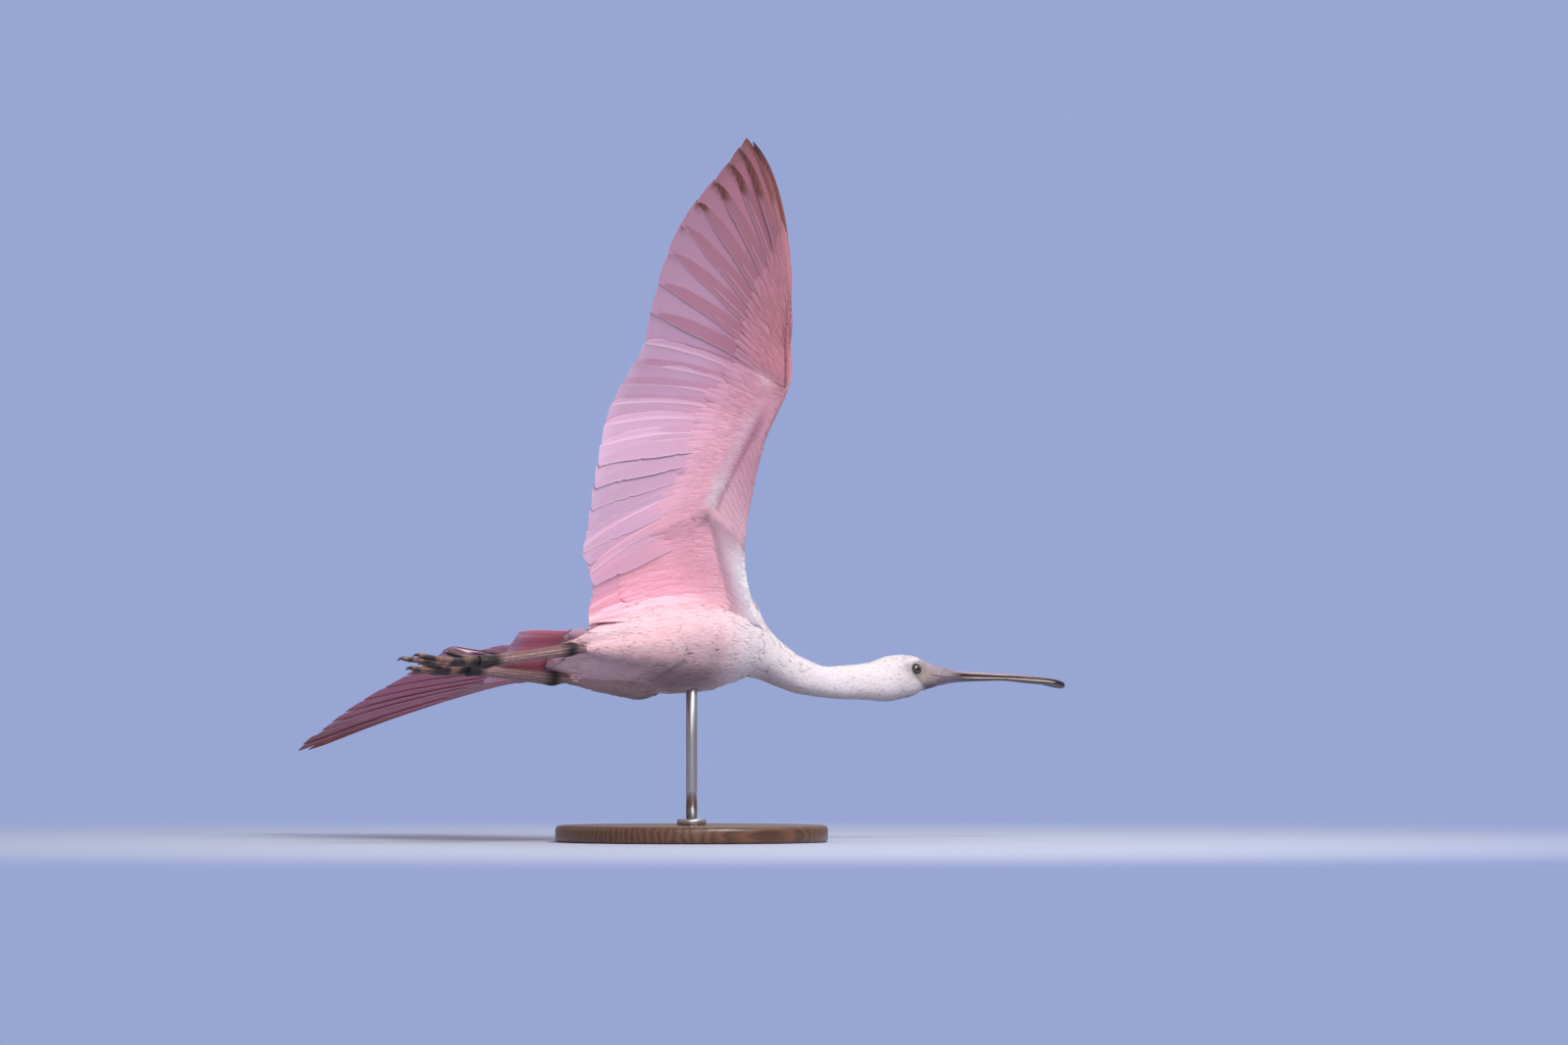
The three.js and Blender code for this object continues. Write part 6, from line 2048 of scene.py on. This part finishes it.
LEG_MAT = skin_material("leg_skin", rough=0.5, scale=320.0, amount=0.12, bump=0.45, spec=0.4, dist=0.0003)
CLAW_MAT = skin_material("claw_horn", rough=0.3, scale=420.0, amount=0.15, bump=0.15, spec=0.5, dist=0.0002)
for _side in ("right", "left"):
    build_leg(_side)


# ------------------------------------------------------------------ stand
def lathe(name, profile, mat, replaces, segs=128):
    prof = np.asarray(profile, float)
    a = np.linspace(0, 2 * math.pi, segs, endpoint=False)
    rings = np.stack(
        [prof[:, :1] * np.cos(a)[None], prof[:, :1] * np.sin(a)[None], np.repeat(prof[:, 1:], segs, 1)], -1
    ) - SHOULDER
    co, q, t = closed_loft(rings)
    m = len(prof)
    i, j = np.meshgrid(np.linspace(0, 1, m), np.arange(segs) / segs, indexing="ij")
    rr = 0.05 + 0.43 * i
    uv = np.stack([0.5 + rr * np.cos(j * 2 * math.pi), 0.5 + rr * np.sin(j * 2 * math.pi)], -1).reshape(-1, 2)
    uv = np.concatenate([uv, [[0.5, 0.5], [0.5, 0.5]]])
    ob = add_mesh(name, co, q, t, uv=uv)
    ob.data.materials.append(mat)
    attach(ob, "root")
    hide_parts(*replaces)
    return ob


def wood_material():
    m, nt, bsdf = new_material("walnut")
    tc = N(nt, "ShaderNodeTexCoord")
    mp = N(nt, "ShaderNodeMapping")
    mp.inputs["Scale"].default_value = (3.0, 46.0, 46.0)
    nt.links.new(tc.outputs["Object"], mp.inputs["Vector"])
    wave = N(nt, "ShaderNodeTexWave", Scale=1.1, Distortion=7.0, Detail=4.0)
    wave.inputs["Detail Scale"].default_value = 1.4
    wave.bands_direction = "Y"
    nt.links.new(mp.outputs["Vector"], wave.inputs["Vector"])
    fine = N(nt, "ShaderNodeTexNoise", Scale=14.0, Detail=6.0)
    mp2 = N(nt, "ShaderNodeMapping")
    mp2.inputs["Scale"].default_value = (4.0, 90.0, 90.0)
    nt.links.new(tc.outputs["Object"], mp2.inputs["Vector"])
    nt.links.new(mp2.outputs["Vector"], fine.inputs["Vector"])
    ramp = N(nt, "ShaderNodeValToRGB")
    ramp.color_ramp.elements[0].color = (*lin(52, 32, 22), 1)
    ramp.color_ramp.elements[1].color = (*lin(116, 76, 50), 1)
    add = N(nt, "ShaderNodeMath", operation="MULTIPLY_ADD")
    add.inputs[1].default_value = 0.55
    nt.links.new(wave.outputs["Fac"], add.inputs[0])
    sc = N(nt, "ShaderNodeMath", operation="MULTIPLY")
    sc.inputs[1].default_value = 0.5
    nt.links.new(fine.outputs["Fac"], sc.inputs[0])
    nt.links.new(sc.outputs[0], add.inputs[2])
    nt.links.new(add.outputs[0], ramp.inputs["Fac"])
    nt.links.new(ramp.outputs["Color"], bsdf.inputs["Base Color"])
    bp = N(nt, "ShaderNodeBump", Strength=0.12, Distance=0.0004)
    nt.links.new(fine.outputs["Fac"], bp.inputs["Height"])
    nt.links.new(bp.outputs["Normal"], bsdf.inputs["Normal"])
    bsdf.inputs["Roughness"].default_value = 0.38
    bsdf.inputs["Coat Weight"].default_value = 0.25
    bsdf.inputs["Coat Roughness"].default_value = 0.2
    return m


def steel_material():
    m, nt, bsdf = new_material("satin_steel")
    tc = N(nt, "ShaderNodeTexCoord")
    mp = N(nt, "ShaderNodeMapping")
    mp.inputs["Scale"].default_value = (60.0, 60.0, 900.0)
    nt.links.new(tc.outputs["Object"], mp.inputs["Vector"])
    no = N(nt, "ShaderNodeTexNoise", Scale=3.0, Detail=4.0)
    nt.links.new(mp.outputs["Vector"], no.inputs["Vector"])
    ramp = N(nt, "ShaderNodeMapRange")
    ramp.inputs["To Min"].default_value = 0.24
    ramp.inputs["To Max"].default_value = 0.42
    nt.links.new(no.outputs["Fac"], ramp.inputs["Value"])
    nt.links.new(ramp.outputs["Result"], bsdf.inputs["Roughness"])
    cr = N(nt, "ShaderNodeValToRGB")
    cr.color_ramp.elements[0].color = (0.42, 0.42, 0.43, 1)
    cr.color_ramp.elements[1].color = (0.62, 0.62, 0.62, 1)
    nt.links.new(no.outputs["Fac"], cr.inputs["Fac"])
    nt.links.new(cr.outputs["Color"], bsdf.inputs["Base Color"])
    bsdf.inputs["Metallic"].default_value = 1.0
    return m


WOOD, STEEL = wood_material(), steel_material()
bt, br = BASE_THICK, BASE_RADIUS
lathe(
    "base_wood",
    [(0.5, 0), (60, 0), (br - 3, 0), (br - 1, 0.5), (br, 2), (br, 6), (br, bt - 5), (br - 0.6, bt - 2.9), (br - 1.8, bt - 1.2), (br - 3.4, bt - 0.3), (br - 5, bt), (100, bt), (40, bt), (0.5, bt)],
    WOOD, ["stand_base"],
)
ct = bt + 0.35
lathe(
    "collar_steel",
    [(0.5, ct), (COLLAR_RADIUS - 0.4, ct), (COLLAR_RADIUS, ct + 0.4), (COLLAR_RADIUS, bt + COLLAR_HEIGHT - 1.6), (COLLAR_RADIUS - 0.5, bt + COLLAR_HEIGHT - 0.5), (COLLAR_RADIUS - 1.6, bt + COLLAR_HEIGHT), (ROD_RADIUS, bt + COLLAR_HEIGHT), (0.5, bt + COLLAR_HEIGHT)],
    STEEL, ["stand_collar"], 96,
)
_lo, _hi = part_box("stand_rod")
zt = _hi[2] / MM + 2.0
lathe(
    "rod_steel",
    [(0.5, bt + COLLAR_HEIGHT + 0.3), (ROD_RADIUS, bt + COLLAR_HEIGHT + 0.3), (ROD_RADIUS, 60), (ROD_RADIUS, 110), (ROD_RADIUS, zt - 1), (ROD_RADIUS - 1, zt), (0.5, zt)],
    STEEL, ["stand_rod"], 64,
)

# ------------------------------------------------------------------ floor, light and camera
def build_floor():
    n, m = 96, 24
    a = np.linspace(0, 2 * math.pi, n, endpoint=False)
    r = np.linspace(0.02, 3.2, m)
    A, R = np.meshgrid(a, r, indexing="xy")
    me = bpy.data.meshes.new("floor")
    co = np.stack([R * np.cos(A), R * np.sin(A), np.full_like(R, -0.0004)], -1).reshape(-1, 3)
    q = grid_faces(m, n, wrap=True)
    me.from_pydata(co.tolist(), [], q[:, ::-1].tolist() + [list(range(n))])
    ob = bpy.data.objects.new("floor", me)
    scene.collection.objects.link(ob)
    mt = bpy.data.materials.new("floor")
    mt.use_nodes = True
    nt = mt.node_tree
    nt.nodes.clear()
    out = nt.nodes.new("ShaderNodeOutputMaterial")
    df = N(nt, "ShaderNodeBsdfDiffuse")
    df.inputs["Color"].default_value = (0.46, 0.50, 0.62, 1)
    tr = N(nt, "ShaderNodeBsdfTransparent")
    mx = N(nt, "ShaderNodeMixShader")
    tc = N(nt, "ShaderNodeTexCoord")
    ln = N(nt, "ShaderNodeVectorMath", operation="LENGTH")
    nt.links.new(tc.outputs["Object"], ln.inputs[0])
    mr = N(nt, "ShaderNodeMapRange", interpolation_type="SMOOTHSTEP")
    mr.inputs["From Min"].default_value = 0.30
    mr.inputs["From Max"].default_value = 1.7
    nt.links.new(ln.outputs["Value"], mr.inputs["Value"])
    nt.links.new(mr.outputs["Result"], mx.inputs["Fac"])
    nt.links.new(df.outputs[0], mx.inputs[1])
    nt.links.new(tr.outputs[0], mx.inputs[2])
    nt.links.new(mx.outputs[0], out.inputs["Surface"])
    me.materials.append(mt)


build_floor()

world = bpy.data.worlds.new("studio")
scene.world = world
world.use_nodes = True
wt = world.node_tree
wt.nodes.clear()
wo = wt.nodes.new("ShaderNodeOutputWorld")
b_seen = wt.nodes.new("ShaderNodeBackground")
b_seen.inputs["Color"].default_value = (*lin(152, 166, 211), 1)
b_light = wt.nodes.new("ShaderNodeBackground")
b_light.inputs["Strength"].default_value = 1.0
w_tc = wt.nodes.new("ShaderNodeTexCoord")
w_sep = wt.nodes.new("ShaderNodeSeparateXYZ")
wt.links.new(w_tc.outputs["Generated"], w_sep.inputs[0])
w_ramp = wt.nodes.new("ShaderNodeValToRGB")
w_map = wt.nodes.new("ShaderNodeMapRange")
w_map.inputs["From Min"].default_value = -1.0
wt.links.new(w_sep.outputs["Z"], w_map.inputs["Value"])
wt.links.new(w_map.outputs["Result"], w_ramp.inputs["Fac"])
w_ramp.color_ramp.elements[0].position = 0.30
w_ramp.color_ramp.elements[0].color = (0.045, 0.05, 0.06, 1)
w_ramp.color_ramp.elements[1].position = 0.78
w_ramp.color_ramp.elements[1].color = (0.60, 0.585, 0.64, 1)
w_mid = w_ramp.color_ramp.elements.new(0.52)
w_mid.color = (0.265, 0.24, 0.262, 1)
wt.links.new(w_ramp.outputs["Color"], b_light.inputs["Color"])
wm = wt.nodes.new("ShaderNodeMixShader")
lp = wt.nodes.new("ShaderNodeLightPath")
wt.links.new(lp.outputs["Is Camera Ray"], wm.inputs["Fac"])
wt.links.new(b_light.outputs[0], wm.inputs[1])
wt.links.new(b_seen.outputs[0], wm.inputs[2])
wt.links.new(wm.outputs[0], wo.inputs["Surface"])


def area_light(name, direction, distance, size, power, color):
    d = Vector(direction).normalized()
    target = Vector(to_world([0, 0, 40]))
    li = bpy.data.lights.new(name, "AREA")
    li.shape = "DISK"
    li.size = size
    li.energy = power
    li.color = color
    ob = bpy.data.objects.new(name, li)
    ob.location = target + d * distance
    ob.rotation_euler = (-d).to_track_quat("-Z", "Y").to_euler()
    scene.collection.objects.link(ob)
    return ob


area_light("key", (-0.02, -0.72, 0.69), 3.2, 1.4, 84, (1.0, 0.97, 0.94))
area_light("wing_fill", (-0.50, -0.80, 0.33), 3.8, 2.0, 20, (1.0, 0.97, 0.98))
area_light("rim", (0.55, 0.65, 0.75), 3.4, 1.2, 14, (0.95, 0.97, 1.0))

YAW = math.radians(34.75)
DISTANCE = 20.0
PX = 1.08 * MM
fwd = Vector((math.sin(YAW), math.cos(YAW), 0))
right = Vector((math.cos(YAW), -math.sin(YAW), 0))
mid_shoulder = Vector(to_world([0, 0, 0]))
centre_pt = mid_shoulder + right * ((800 - 725.67) * PX) + Vector((0, 0, (641.83 - 533 + 1.2) * PX))
cam_data = bpy.data.cameras.new("camera")
cam_data.sensor_width = 36
cam_data.lens = 36 * DISTANCE / (1600 * PX)
cam_data.clip_end = 200
cam = bpy.data.objects.new("camera", cam_data)
cam.location = centre_pt - fwd * DISTANCE
cam.rotation_euler = fwd.to_track_quat("-Z", "Y").to_euler()
scene.collection.objects.link(cam)
scene.camera = cam
scene.view_settings.view_transform = "Standard"
scene.view_settings.look = "None"

total = 0
for _o in bpy.data.objects:
    if _o.type == "MESH" and _o.name in PIECES:
        n_tri = sum(len(p.vertices) - 2 for p in _o.data.polygons) if len(_o.data.polygons) < 20 else int(
            len(_o.data.loops) - 2 * len(_o.data.polygons)
        )
        total += n_tri
        print("tris", _o.name, n_tri)
print("tris in all", total, counts)
